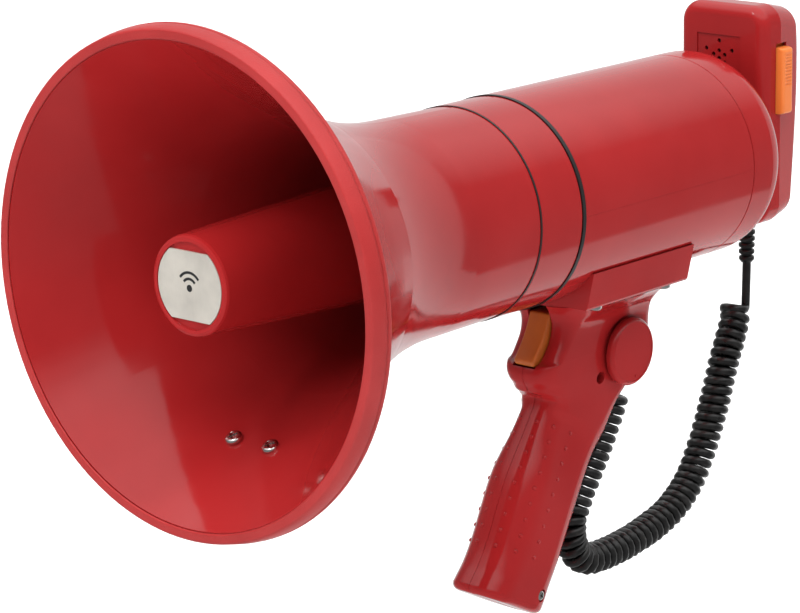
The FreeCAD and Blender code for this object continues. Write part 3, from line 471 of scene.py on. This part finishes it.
RED = (0.345, 0.0155, 0.0165)
RED_DEEP = (0.295, 0.0115, 0.0125)

LOOKS = {
    "body_red": gloss_shell("body_red", RED, RED_DEEP, 0.095),
    "rim_red": grained_plastic("rim_red", (0.42, 0.026, 0.026), (0.35, 0.018, 0.018), 0.42,
                               grain=0.0007, depth=0.00012),
    "inner_black": grained_plastic("inner_black", (0.022, 0.022, 0.023), (0.015, 0.015, 0.016), 0.5),
    "plate_metal": metal("plate_metal", (0.80, 0.75, 0.67), 0.42, (1.0, 1.0, 0.02), bare=0.5),
    "screw_chrome": metal("screw_chrome", (0.78, 0.76, 0.74), 0.13),
    "diaphragm_film": grained_plastic("diaphragm_film", (0.35, 0.2, 0.07), (0.28, 0.15, 0.05), 0.35),
    "copper": metal("copper", (0.75, 0.33, 0.16), 0.25, (1.0, 0.02, 1.0)),
    "steel": metal("steel", (0.56, 0.56, 0.55), 0.32, (1.0, 0.05, 1.0)),
    "magnet": grained_plastic("magnet", (0.045, 0.045, 0.05), (0.03, 0.03, 0.033), 0.55, grain=0.0005),
    "gasket_rubber": grained_plastic("gasket_rubber", (0.010, 0.010, 0.010), (0.006, 0.006, 0.006),
                                     0.38, grain=0.0004, depth=0.00003),
    "board_green": circuit_board(),
    "heat_sink": metal("heat_sink", (0.6, 0.6, 0.6), 0.45, (0.05, 1.0, 1.0)),
    "cell_jacket": gloss_shell("cell_jacket", (0.07, 0.08, 0.1), (0.045, 0.05, 0.065), 0.25),
    "contact_brass": metal("contact_brass", (0.75, 0.66, 0.4), 0.28),
    "trigger_orange": grained_plastic("trigger_orange", (0.50, 0.115, 0.012), (0.40, 0.08, 0.008),
                                      0.48, grain=0.00055, depth=0.00007),
    "button_orange": grained_plastic("button_orange", (0.83, 0.22, 0.045), (0.75, 0.17, 0.03), 0.36,
                                     grain=0.0006, depth=0.00003, coat=0.15),
    "cord_black": cord_rubber(),
}


def dress_nodes():
    """Gives every CAD node the look of its own slot."""
    for part in frame["record"]["subparts"]:
        node = nodes[part["node"]]
        node.data.materials.clear()
        node.data.materials.append(LOOKS[part["material_slot"]])


dress_nodes()


def declare_cord():
    """The cord runs from the microphone's boot to the grip, as one fixed piece in place of the CAD
    cord.
    """
    cord.data.materials.append(LOOKS["cord_black"])
    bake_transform(cord)
    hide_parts("cord_curl", "cord_lead")


declare_cord()


# ---------------------------------------------------------------- grip

# stations down the housing and the grip, in millimetres of the horn frame: centre (back, drop),
# lean in degrees, then front, rear, half width, front rounding and rear rounding of the section
LEAN = 27.0
GRIP_TOP = (268.0, 90.0)
HOUSING_STATIONS = [
    (268.0, 55.0, 0.0, 24.5, 47.5, 29.0, 24.0, 6.0), (268.0, 57.5, 0.0, 22.6, 48.3, 25.2, 19.5, 6.5),
    (268.0, 61.0, 0.0, 21.0, 49.5, 21.4, 15.5, 7.0), (268.0, 65.5, 0.0, 19.8, 50.3, 17.8, 10.5, 7.0),
    (268.0, 72.0, 0.0, 21.0, 50.8, 16.1, 8.0, 7.0), (268.0, 79.0, 0.0, 25.5, 51.0, 15.6, 7.5, 7.0),
    (268.0, 82.6, 0.0, 29.0, 50.8, 15.5, 8.0, 7.2), (268.0, 84.2, 0.0, 32.6, 50.6, 15.4, 9.0, 7.4),
    (268.0, 88.0, 0.0, 34.4, 50.0, 15.3, 10.5, 7.6), (268.0, 92.0, 0.0, 33.6, 48.4, 15.2, 11.5, 8.4),
    (268.0, 96.5, 2.0, 31.4, 44.0, 14.8, 12.0, 9.0), (268.0, 101.5, 6.0, 29.8, 37.5, 14.3, 11.5, 9.5),
    (267.0, 107.0, 14.0, 26.4, 30.4, 13.9, 11.0, 10.0),
]
# distance down the grip, front, rear, half width, rounding
GRIP_STATIONS = [
    (24.0, 15.6, 34.5, 14.3, 11.6), (40.0, 17.3, 29.0, 15.8, 13.0), (65.0, 20.8, 27.0, 16.9, 14.1),
    (95.0, 20.8, 26.0, 17.0, 14.2), (108.0, 22.0, 24.8, 17.0, 14.2), (115.0, 23.6, 24.3, 17.1, 14.0),
    (119.4, 24.7, 23.7, 17.1, 13.8),
]
RING_PARTS = (5, 10, 7, 9, 5)
RING_STEPS = 6
SEAM_GAP = 0.06
GRIP_WALL = 2.3


def half_ring(front, rear, half, front_round, rear_round):
    """Half a rounded section from its front seam to its rear one: (across, back) pairs."""
    front_count, bend_count, side_count, heel_count, rear_count = RING_PARTS
    ring = [(SEAM_GAP, 0.25 - front)]
    for k in range(front_count):
        ring.append((0.4 + (half - front_round - 0.4) * k / front_count, -front))
    for k in range(bend_count):
        turn = 0.5 * math.pi * k / bend_count
        ring.append((half - front_round + front_round * math.sin(turn),
                     front_round - front - front_round * math.cos(turn)))
    for k in range(side_count):
        ring.append((half, front_round - front + (front + rear - front_round - rear_round)
                     * k / side_count))
    for k in range(heel_count):
        turn = 0.5 * math.pi * k / heel_count
        ring.append((half - rear_round + rear_round * math.cos(turn),
                     rear - rear_round + rear_round * math.sin(turn)))
    for k in range(rear_count + 1):
        ring.append((0.4 + (half - rear_round - 0.4) * (1 - k / rear_count), rear))
    ring.append((SEAM_GAP, rear - 0.25))
    return ring


def ring_points(back, drop, lean, ring, side):
    """Places a half section in the horn frame; a leaning section drops towards its rear."""
    lean = math.radians(lean)
    return [Vector((side * across, back + offset * math.cos(lean), -drop - offset * math.sin(lean)))
            for across, offset in ring]


def grip_centre(along):
    lean = math.radians(LEAN)
    return GRIP_TOP[0] - along * math.sin(lean), GRIP_TOP[1] + along * math.cos(lean)


def catmull(before, start, end, after, share):
    square, cube = share * share, share ** 3
    return 0.5 * (2 * start + (end - before) * share
                  + (2 * before - 5 * start + 4 * end - after) * square
                  + (3 * start - before - 3 * end + after) * cube)


def creased(point):
    """Below a slanting line under the nose the side steps in a little, then recovers."""
    slant = (point.y - 241.0) * -0.613 + (point.z + 102.6) * -0.79
    travel = (point.y - 241.0) * 0.79 + (point.z + 102.6) * -0.613
    depth = 2.9 * smooth_step(slant, -1.5, 3.5) * (1.0 - smooth_step(slant, 9.0, 38.0))
    depth *= smooth_step(travel, -22.0, -6.0) * (1.0 - smooth_step(travel, 14.0, 40.0))
    share = min(abs(point.x) / 13.0, 1.0)
    return Vector((point.x * (1.0 - depth * share / 15.0), point.y, point.z))


def section_rings(side, wall):
    """The sections of half the grip, each drawn in by a wall's thickness, from top to toe."""
    rings = [ring_points(back, drop, lean, half_ring(
        front - wall, rear - wall, half - wall, front_round - 0.8 * wall, rear_round - 0.8 * wall),
        side) for back, drop, lean, front, rear, half, front_round, rear_round in HOUSING_STATIONS]
    for along, front, rear, half, rounding in GRIP_STATIONS:
        rings.append(ring_points(*grip_centre(along), LEAN, half_ring(
            front - wall, rear - wall, half - wall, rounding - wall, rounding - wall), side))
    return rings


def grip_skin(side, wall):
    """One skin of half the grip: smooth between its sections, with a rounded toe and a sole."""
    stations = section_rings(side, wall)
    rings = []
    for index in range(len(stations) - 1):
        corners = [stations[min(max(index + k, 0), len(stations) - 1)] for k in (-1, 0, 1, 2)]
        for step in range(RING_STEPS):
            rings.append([creased(catmull(*spots, step / RING_STEPS)) for spots in zip(*corners)])
    rings.append([creased(point) for point in stations[-1]])
    along, front, rear, half, rounding = GRIP_STATIONS[-1]
    for further, inset in ((1.3, 0.3), (2.4, 1.0), (3.2, 2.1), (3.6, 3.6)):
        drawn_in = wall + inset
        rings.append(ring_points(*grip_centre(along + further - wall), LEAN, half_ring(
            front - drawn_in, rear - drawn_in, half - drawn_in, rounding - drawn_in,
            rounding - drawn_in), side))
    sole = rings[-1]
    for share in (0.7, 0.4, 0.1):
        rings.append([Vector((side * SEAM_GAP + (point.x - side * SEAM_GAP) * share,
                              point.y, point.z)) for point in sole])
    return rings


def block(name, low, high):
    """A box between two corners of the horn frame, for cutting."""
    corners = [at(x, y, z) for z in (low[2], high[2]) for x, y in (
        (low[0], low[1]), (high[0], low[1]), (high[0], high[1]), (low[0], high[1]))]
    return mesh_object(name, corners, BOX_FACES)


def side_prism(name, low, high, corners):
    """A prism along X over corners (back, up) of the horn frame."""
    count = len(corners)
    points = [at(across, back, up) for across in (low, high) for back, up in corners]
    faces = [tuple(range(count))[::-1], tuple(range(count, 2 * count))]
    faces += [(k, (k + 1) % count, count + (k + 1) % count, count + k) for k in range(count)]
    return mesh_object(name, points, faces)


def drum(name, start, end, radius, steps=48):
    """A capped cylinder between two points of the horn frame, for cutting."""
    low, high = at(*start), at(*end)
    length = (high - low).length
    return lathe(name, [(0.0, 0.0), (0.0, radius * MM), (length, radius * MM), (length, 0.0)],
                 low, high - low, steps, closed=False)


# seats of the two handle screws: (back, drop, how far out the head sits)
HANDLE_SCREWS = [(277.0, 97.0, 4.0), (227.5, 197.0, 14.2)]
KNOB = (295.4, -86.6)
CORD_WAY_IN = ((308.1, -106.3), (311.4, -87.6))


def grip_half(name, side, body_node):
    outer, inner = grip_skin(side, 0.0), grip_skin(side, GRIP_WALL)
    rows, columns = len(outer), len(outer[0])
    points = [at(*point) for ring in outer + inner for point in ring]
    shift = rows * columns
    skin = grid_faces(rows, columns, closed_columns=False)
    faces = skin + [tuple(index + shift for index in face)[::-1] for face in skin]
    edge = [row * columns for row in range(rows)]
    edge += [(rows - 1) * columns + column for column in range(1, columns)]
    edge += [row * columns + columns - 1 for row in range(rows - 2, -1, -1)]
    edge += list(range(columns - 2, 0, -1))
    faces += [(edge[k], edge[(k + 1) % len(edge)], edge[(k + 1) % len(edge)] + shift,
               edge[k] + shift) for k in range(len(edge))]
    piece = mesh_object(name, points, faces)
    cutters = [side_prism("slot", -7.0, 7.0, [
        (225.0, -84.2), (234.0, -84.2), (235.2, -85.4), (236.6, -87.8), (241.0, -88.4),
        (262.0, -86.8), (262.0, -52.0), (225.0, -52.0)])]
    (back, up), (inner_back, inner_up) = CORD_WAY_IN
    cutters.append(drum("way_in", (0.0, back, up), (0.0, inner_back, inner_up), 6.5))
    if side > 0:
        cutters.append(drum("recess", (15.25, *KNOB), (24.0, *KNOB), 17.7, 96))
        cutters.append(drum("spindle_hole", (9.0, *KNOB), (24.0, *KNOB), 4.3))
        for back, drop, seat in HANDLE_SCREWS:
            cutters.append(drum("screw_hole", (seat, back, -drop), (24.0, back, -drop), 3.2))
    cut(piece, *cutters)
    piece.data.shade_smooth()
    piece.data.set_sharp_from_angle(angle=math.radians(32.0))
    return finish_piece(piece, LOOKS["body_red"], "megaphone", "body_red", body_node)


PIP_PITCH = 8.0
PIP_FIRST = 33.5
PIP_ROWS = 9
PIP_RADIUS = 1.1
PIP_HEIGHT = 0.7
PIP_REACHES = (5.5, 16.0, 28.5)
# width and height of a dot's rings, as shares of its radius and its height
PIP_LEVELS = [(1.0, -0.63), (0.86, 0.54), (0.5, 0.864)]


def surface_spot(ring, reach):
    """The point and outward direction at a distance round a section from its front seam."""
    travelled = 0.0
    for start, end in zip(ring[1:], ring[2:]):
        run = Vector(end) - Vector(start)
        if travelled + run.length >= reach:
            spot = Vector(start) + run * ((reach - travelled) / run.length)
            return spot, Vector((-run.y, run.x)).normalized() * -1.0
        travelled += run.length
    raise ValueError("the section is shorter than the reach")


def pip_section(along):
    """The grip's section part-way between two stations."""
    for low, high in zip(GRIP_STATIONS, GRIP_STATIONS[1:]):
        if low[0] <= along <= high[0]:
            share = (along - low[0]) / (high[0] - low[0])
            front, rear, half, rounding = [
                a + (b - a) * share for a, b in zip(low[1:], high[1:])]
            return half_ring(front, rear, half, rounding, rounding)
    raise ValueError("no section there")


def grip_pips(name, side):
    """Raised dots in rows across the grip's front and side."""
    points, faces = [], []
    lean = math.radians(LEAN)
    for row in range(PIP_ROWS):
        along = PIP_FIRST + PIP_PITCH * row
        ring = pip_section(along)
        back, drop = grip_centre(along)
        for reach in PIP_REACHES:
            spot, out = surface_spot(ring, reach)
            centre = Vector((side * spot.x, back + spot.y * math.cos(lean),
                             -drop - spot.y * math.sin(lean)))
            centre = creased(centre)
            normal = Vector((side * out.x, out.y * math.cos(lean), -out.y * math.sin(lean)))
            across = normal.orthogonal().normalized()
            other = normal.cross(across)
            first = len(points)
            for width, height in PIP_LEVELS:
                points += [centre + normal * height * PIP_HEIGHT + (
                    across * math.cos(t) + other * math.sin(t)) * PIP_RADIUS * width
                    for t in (math.pi * k / 6 for k in range(12))]
            points.append(centre + normal * PIP_HEIGHT)
            faces += [tuple(first + index for index in face) for face in grid_faces(3, 12)]
            faces += [(first + 24 + k, first + 24 + (k + 1) % 12, first + 36) for k in range(12)]
    piece = mesh_object(name, [at(*point) for point in points], faces, 60.0)
    return finish_piece(piece, LOOKS["body_red"], "megaphone", "body_red")


def screw_wells():
    """The round wells in the grip's side that the handle screws sit in."""
    made = []
    for (back, drop, seat), edge in zip(HANDLE_SCREWS, (14.3, 15.3)):
        profile = [(seat - 0.8, 1.7), (seat, 1.7), (seat, 3.25), (edge, 3.25), (edge, 3.6),
                   (seat - 0.8, 3.6)]
        made.append(lathe("well", [(along * MM, radius * MM) for along, radius in profile],
                          at(0.0, back, -drop), (1, 0, 0), 48))
    finish_piece(join_as("grip_screw_wells", made), LOOKS["body_red"], "megaphone", "body_red")


grip_half("grip_half_left", 1, "grip_left")
grip_half("grip_half_right", -1, "grip_right")
grip_pips("grip_dots_left", 1)
grip_pips("grip_dots_right", -1)
screw_wells()


# ---------------------------------------------------------------- turned and small pieces

def cross_screw(place, out, radius, height, shank, shank_radius):
    """A pan-head screw with a cross recess: place is under its head, in the row frame."""
    out = Vector(out).normalized()
    dome = [(height * (0.45 + 0.55 * math.cos(t)), radius * (0.55 + 0.45 * math.sin(t)))
            for t in (0.5 * math.pi * k / 5 for k in range(6))]
    profile = [(-shank, 0.0), (-shank, shank_radius * 0.6), (-shank + shank_radius, shank_radius),
               (0.0, shank_radius), (0.0, radius * 0.97), (height * 0.12, radius)]
    profile += [(along, across) for along, across in reversed(dome)] + [(height, 0.0)]
    head = lathe("screw", [(a * MM, r * MM) for a, r in profile], place, out, 40, closed=False)
    side = out.orthogonal().normalized()
    arm, slit, depth = radius * 0.62, radius * 0.13, height * 0.62
    cutters = []
    for first, second in ((side, out.cross(side)), (out.cross(side), side)):
        corners = [place + out * (level * MM) + first * (a * reach * MM) + second * (b * slit * MM)
                   for level, reach in ((height - depth, arm * 0.45), (height + 0.5, arm * 1.15))
                   for a, b in ((-1, -1), (1, -1), (1, 1), (-1, 1))]
        cutters.append(mesh_object("cross", corners, BOX_FACES))
    cut(head, *cutters)
    head.data.shade_smooth()
    head.data.set_sharp_from_angle(angle=math.radians(30.0))
    return head


BELL_SCREW = {"back": 44.5, "drop": 80.2, "aside": 11.3, "tilt": -30.0}


def screws():
    tilt = math.radians(BELL_SCREW["tilt"])
    out = (0.0, math.sin(tilt), math.cos(tilt))
    sets = {
        "horn_screws": ("megaphone", [
            (at(side * BELL_SCREW["aside"], BELL_SCREW["back"], -BELL_SCREW["drop"])
             + Vector(out) * 1.0 * MM, out, 4.1, 2.2, 8.0, 1.6) for side in (-1, 1)]),
        "saddle_screws": ("megaphone", [
            (at(side * 33.0, back, -51.5), (0, 0, -1), 3.6, 2.4, 15.0, 1.6)
            for side in (-1, 1) for back in (249.0, 304.0)]),
        "handle_screws": ("megaphone", [
            (at(seat, back, -drop), (1, 0, 0), 2.9, 2.2, 15.0, 1.5)
            for back, drop, seat in HANDLE_SCREWS]),
        "hanger_screws": ("rear_cap", [
            (at(side * 10.0, 385.7, 4.0), (0, 1, 0), 2.8, 1.4, 6.5, 1.4) for side in (-1, 1)]),
        "mic_screws": ("microphone", [
            (at(side * 18.0, 422.5, -27.0), (0, 1, 0), 2.4, 1.4, 16.0, 1.2) for side in (-1, 1)]),
    }
    for node, (body, rows) in sets.items():
        piece = join_as(node + "_crossed", [cross_screw(*row) for row in rows])
        finish_piece(piece, LOOKS["screw_chrome"], body, "screw_chrome", node)


def knob():
    """The volume knob: a disc with a chamfered rim, a sunk face and a small index dot."""
    profile = [(13.6, 0.0), (13.6, 4.0), (16.9, 4.0), (16.9, 16.6), (17.3, 17.1), (17.6, 17.2),
               (19.6, 17.2), (20.0, 17.05), (21.15, 16.0), (21.5, 15.5), (21.5, 15.1), (21.05, 14.85),
               (21.05, 0.0)]
    piece = lathe("knob_turned", [(across * MM, radius * MM) for across, radius in profile],
                  at(0.0, *KNOB), (1, 0, 0), 128, closed=False, smooth_angle=25.0)
    dot = (20.6, KNOB[0] + 1.5, KNOB[1] - 12.6)
    cut(piece, drum("dot", dot, (24.0, dot[1], dot[2]), 0.55, 20))
    piece.data.shade_smooth()
    piece.data.set_sharp_from_angle(angle=math.radians(25.0))
    finish_piece(piece, LOOKS["body_red"], "volume_knob", "body_red", "volume_knob")


def boot():
    """The microphone's strain relief: tapered, with ribs, bored for the cord."""
    profile = [(33.0, 2.45), (25.0, 2.45), (25.0, 6.5), (33.0, 6.5), (33.0, 4.95), (40.6, 4.95),
               (41.2, 4.7)]
    ribs = 7
    for rib in range(ribs):
        start = 42.0 + 3.5 * rib
        radius = 4.75 - 0.115 * rib
        profile += [(start, radius - 1.15), (start + 0.45, radius - 1.2), (start + 0.9, radius - 0.25),
                    (start + 1.3, radius), (start + 2.5, radius), (start + 2.9, radius - 0.2)]
    profile += [(66.4, 3.4), (67.0, 3.0), (67.0, 2.45)]
    piece = lathe("mic_boot_ribbed", [(-along * MM, radius * MM) for along, radius in profile],
                  at(0.0, 420.5, 0.0), (0, 0, 1), 64)
    finish_piece(piece, LOOKS["cord_black"], "microphone", "cord_black", "mic_boot")


def plate_mark():
    """A generic sound sign on the plate: a dot and two arcs."""
    made = [drum("dot", (0.0, 7.42, -1.0), (0.0, 7.52, -1.0), 1.6, 32)]
    for radius in (4.2, 7.0):
        rings, turns = [], 28
        for k in range(turns + 1):
            turn = math.radians(-52.0 + 104.0 * k / turns)
            for reach, back in ((radius - 0.6, 7.52), (radius + 0.6, 7.52),
                                (radius + 0.6, 7.42), (radius - 0.6, 7.42)):
                rings.append(at(reach * math.sin(turn), back, reach * math.cos(turn) - 1.0))
        faces = grid_faces(turns + 1, 4) + [(3, 2, 1, 0), tuple(4 * turns + k for k in range(4))]
        made.append(mesh_object("arc", rings, faces))
    finish_piece(join_as("plate_sign", made), LOOKS["inner_black"], "megaphone", "inner_black")


CASE_RADIUS = 52.2


def mould_lines():
    """The fine parting line that the mould leaves along each side of the rear case."""
    made = []
    for side in (-1, 1):
        reach = CASE_RADIUS
        corners = []
        for back in (220.5, 352.5):
            corners += [at(side * (reach - 0.3), back, -0.28), at(side * (reach + 0.12), back, -0.1),
                        at(side * (reach + 0.12), back, 0.1), at(side * (reach - 0.3), back, 0.28)]
        made.append(mesh_object("line", corners, grid_faces(2, 4) + [(3, 2, 1, 0), (4, 5, 6, 7)]))
    finish_piece(join_as("case_mould_lines", made), LOOKS["body_red"], "megaphone", "body_red")


def talk_bar():
    """The press-to-talk bar: rounded, with a field of fine ribs over its upper half."""
    low, high, front, back = 17.0, 51.2, 407.2, 416.0
    rows, columns = 120, 24
    points = []
    for row in range(rows + 1):
        up = low + (high - low) * row / rows
        end = min(up - low, high - up)
        for column in range(columns + 1):
            spot = front + (back - front) * column / columns
            edge = min(spot - front, back - spot)
            out = 31.6
            for reach in (end, edge):
                if reach < 1.8:
                    out -= 1.8 - math.sqrt(max(1.8 ** 2 - (1.8 - reach) ** 2, 0.0))
            inside = smooth_step(edge, 1.6, 2.4) * smooth_step(up, 31.0, 32.0)
            inside *= 1.0 - smooth_step(up, 48.0, 49.0)
            out -= 0.6 * inside * (0.5 + 0.5 * math.cos(2 * math.pi * up / 1.7))
            points.append(at(out, spot, up))
    faces = grid_faces(rows + 1, columns + 1, closed_columns=False)
    rim = [row * (columns + 1) for row in range(rows + 1)]
    rim += [rows * (columns + 1) + column for column in range(1, columns + 1)]
    rim += [row * (columns + 1) + columns for row in range(rows - 1, -1, -1)]
    rim += list(range(columns - 1, 0, -1))
    first = len(points)
    for index in rim:
        points.append(Vector((at(24.0, 0, 0).x, points[index].y, points[index].z)))
    faces += [(rim[k], rim[(k + 1) % len(rim)], first + (k + 1) % len(rim), first + k)
              for k in range(len(rim))]
    faces.append(tuple(range(first, first + len(rim))))
    shell = mesh_object("bar", points, faces, 50.0)
    flange = block("flange", (22.2, 405.8, 14.8), (24.0, 417.4, 53.4))
    piece = join_as("talk_bar_ribbed", [shell, flange])
    finish_piece(piece, LOOKS["button_orange"], "talk_bar", "button_orange", "mic_switch")


def trigger():
    """The finger lever: a hollowed face and well-rounded edges."""
    face = [(247.4, -59.6)]
    for share in (0.2, 0.35, 0.5, 0.65, 0.8):
        hollow = 1.5 * math.sin(math.pi * share)
        face.append((247.4 - 12.9 * share + hollow, -59.6 - 22.4 * share))
    corners = face + [(234.4, -82.0), (235.2, -84.3), (238.6, -85.1), (250.5, -81.5),
                      (259.8, -66.5), (259.8, -59.6)]
    piece = side_prism("trigger_moulded", -6.2, 6.2, corners)
    add_modifier(piece, "BEVEL", width=2.0 * MM, segments=5, limit_method="ANGLE",
                 angle_limit=math.radians(50.0))
    settle(piece)
    piece.data.shade_smooth()
    piece.data.set_sharp_from_angle(angle=math.radians(40.0))
    finish_piece(piece, LOOKS["trigger_orange"], "trigger", "trigger_orange", "trigger")


MIC_PARTING = 411.0


def bowed_mic():
    """The talker's shell: fullest behind its grille, thinner at the crown and towards the cord."""
    mesh = nodes["mic_front_shell"].data.copy()
    shape = bmesh.new()
    shape.from_mesh(mesh)
    for up in range(-40, 73, 4):
        parts = shape.verts[:] + shape.edges[:] + shape.faces[:]
        bmesh.ops.bisect_plane(shape, geom=parts, plane_co=at(0.0, 0.0, up), plane_no=(0, 0, 1))
    parting = at(0.0, MIC_PARTING, 0.0).y
    for vertex in shape.verts:
        up = vertex.co.z / MM - GRIP_DROP
        share = 1.0 - 0.33 * (max(30.0 - up, 0.0) / 71.5) ** 1.3
        share -= 0.12 * (max(up - 45.0, 0.0) / 28.0) ** 1.5
        if vertex.co.y > parting:
            vertex.co.y = parting + (vertex.co.y - parting) * share
    shape.to_mesh(mesh)
    shape.free()
    mesh.shade_smooth()
    mesh.set_sharp_from_angle(angle=math.radians(30.0))
    shell = new_object("mic_talker_shell", mesh)
    finish_piece(shell, LOOKS["body_red"], "microphone", "body_red", "mic_front_shell")
    cloth = lathe("mic_dust_cloth", [(0.0, 0.0), (0.0, 0.014), (0.0003, 0.014), (0.0003, 0.0)],
                  at(-1.8, 399.2, 44.5), (0, 1, 0), 32, closed=False)
    finish_piece(cloth, LOOKS["inner_black"], "microphone", "inner_black")


def wound_spring(name, place, way, coil, wire, length, turns, node):
    """A wound spring from a place in the row frame along a way; it keeps its rest length."""
    side = way.orthogonal().normalized()
    other = way.cross(side)
    steps = 20 * turns
    points = [place + way * (length * MM * step / steps) + (
        side * math.cos(2 * math.pi * turns * step / steps)
        + other * math.sin(2 * math.pi * turns * step / steps)) * coil * MM
        for step in range(steps + 1)]
    piece = tube(name, points, wire * MM, 10)
    piece.data.materials.append(LOOKS["steel"])
    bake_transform(piece)
    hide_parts(node)


def springs():
    wound_spring("talk_spring_wound", at(17.8, 411.6, 35.0), Vector((1.0, 0.0, 0.0)),
                 2.4, 0.4, 3.9, 3, "mic_switch_spring")
    wound_spring("trigger_spring_wound", at(0.0, 263.7, -71.3), Vector((0.0, -1.0, 0.0)),
                 2.0, 0.35, 4.4, 4, "trigger_spring")


def soften_nodes():
    """Rounds the sharp corners of moulded pieces that keep their CAD shape."""
    for node, width in (("saddle", 0.8), ("mic_hanger", 0.5), ("rim_guard", 0.35)):
        piece = nodes[node]
        add_modifier(piece, "WELD", merge_threshold=0.00001)
        add_modifier(piece, "BEVEL", width=width * MM, segments=3, limit_method="ANGLE",
                     angle_limit=math.radians(35.0), harden_normals=True)


screws()
knob()
trigger()
bowed_mic()
soften_nodes()
boot()
plate_mark()
mould_lines()
talk_bar()
springs()


# ---------------------------------------------------------------- stage

# the studio's bright cards: the way to the middle, then the cosines where it starts and is full,
# and its level
CARDS = [
    ((-0.62, 0.765, -0.17), 0.74, 0.84, 0.8),
    ((-0.38, 0.81, 0.45), 0.885, 0.91, 0.8),
    ((-0.1, 0.81, -0.58), 0.855, 0.875, 0.85),
    ((0.0, 1.0, 0.0), 0.825, 0.85, 0.9),
]
# levels against height, from straight down (0) to straight up (1)
SKY_LEVELS = ((0.0, 0.3), (0.5, 0.2), (0.72, 0.2), (0.87, 1.35))


def make_world():
    """Soft studio surroundings: bright above, dim round the sides, with cards behind the object."""
    world = bpy.data.worlds.new("studio")
    world.use_nodes = True
    tree = world.node_tree
    height = tree.nodes.new("ShaderNodeSeparateXYZ")
    place = tree.nodes.new("ShaderNodeTexCoord")
    tree.links.new(place.outputs["Generated"], height.inputs[0])
    ramp = tree.nodes.new("ShaderNodeValToRGB")
    lift = tree.nodes.new("ShaderNodeMapRange")
    lift.inputs["From Min"].default_value = -1.0
    tree.links.new(height.outputs["Z"], lift.inputs["Value"])
    tree.links.new(lift.outputs[0], ramp.inputs[0])
    for share, level in SKY_LEVELS:
        stop = ramp.color_ramp.elements[0] if share == 0.0 else ramp.color_ramp.elements.new(share)
        stop.color = (level, level, level, 1.0)
    ramp.color_ramp.elements.remove(ramp.color_ramp.elements[-1])
    total = ramp.outputs[0]
    for way, start, full, level in CARDS:
        facing = tree.nodes.new("ShaderNodeVectorMath")
        facing.operation = "DOT_PRODUCT"
        facing.inputs[1].default_value = way
        tree.links.new(place.outputs["Generated"], facing.inputs[0])
        card = tree.nodes.new("ShaderNodeMapRange")
        for socket, value in (("From Min", start), ("From Max", full), ("To Max", level)):
            card.inputs[socket].default_value = value
        tree.links.new(facing.outputs["Value"], card.inputs["Value"])
        brighter = tree.nodes.new("ShaderNodeMath")
        brighter.operation = "MAXIMUM"
        tree.links.new(total, brighter.inputs[0])
        tree.links.new(card.outputs[0], brighter.inputs[1])
        total = brighter.outputs[0]
    tree.links.new(total, tree.nodes["Background"].inputs["Color"])
    bpy.context.scene.world = world
    bpy.context.scene.view_settings.view_transform = "Standard"


def make_stage():
    bottom = cad_bounds[0][2] - 0.16
    floor = mesh_object("floor", [(-9, -9, bottom), (9, -9, bottom), (9, 9, bottom), (-9, 9, bottom)],
                        [(0, 1, 2, 3)])
    look = Look("floor", Roughness=0.9)
    shade = look.ramp(look.noise(0.8, 2.0), 0.3, 0.7)
    look.link(mixed_colours(look, shade, (0.86, 0.86, 0.86), (0.90, 0.90, 0.90)), "Base Color")
    floor.data.materials.append(look.material)
    floor.visible_glossy = False


def aimed(name, data, place, target):
    light = new_object(name, data)
    light.matrix_world = Matrix.LocRotScale(
        Vector(place), (Vector(place) - Vector(target)).to_track_quat("Z", "Y"), None)
    return light


def area_light(name, place, target, width, height, power, mirrored=True):
    data = bpy.data.lights.new(name, "AREA")
    data.shape = "RECTANGLE"
    data.size = width
    data.size_y = height
    data.energy = power
    aimed(name, data, place, target).visible_glossy = mirrored


def make_lights():
    middle = (0.0, -0.03, 0.12)
    data = bpy.data.lights.new("daylight", "SUN")
    data.energy = 2.7
    data.angle = math.radians(60.0)
    aimed("daylight", data, (0.5, -0.9, 2.4), (0.0, 0.0, 0.0)).visible_glossy = False
    area_light("front", (0.0, -2.1, 1.1), middle, 1.2, 1.0, 6.0, mirrored=False)
    area_light("sparkle", (-0.4, -1.2, 1.6), middle, 0.22, 0.22, 3.0)


make_world()
make_stage()
make_lights()
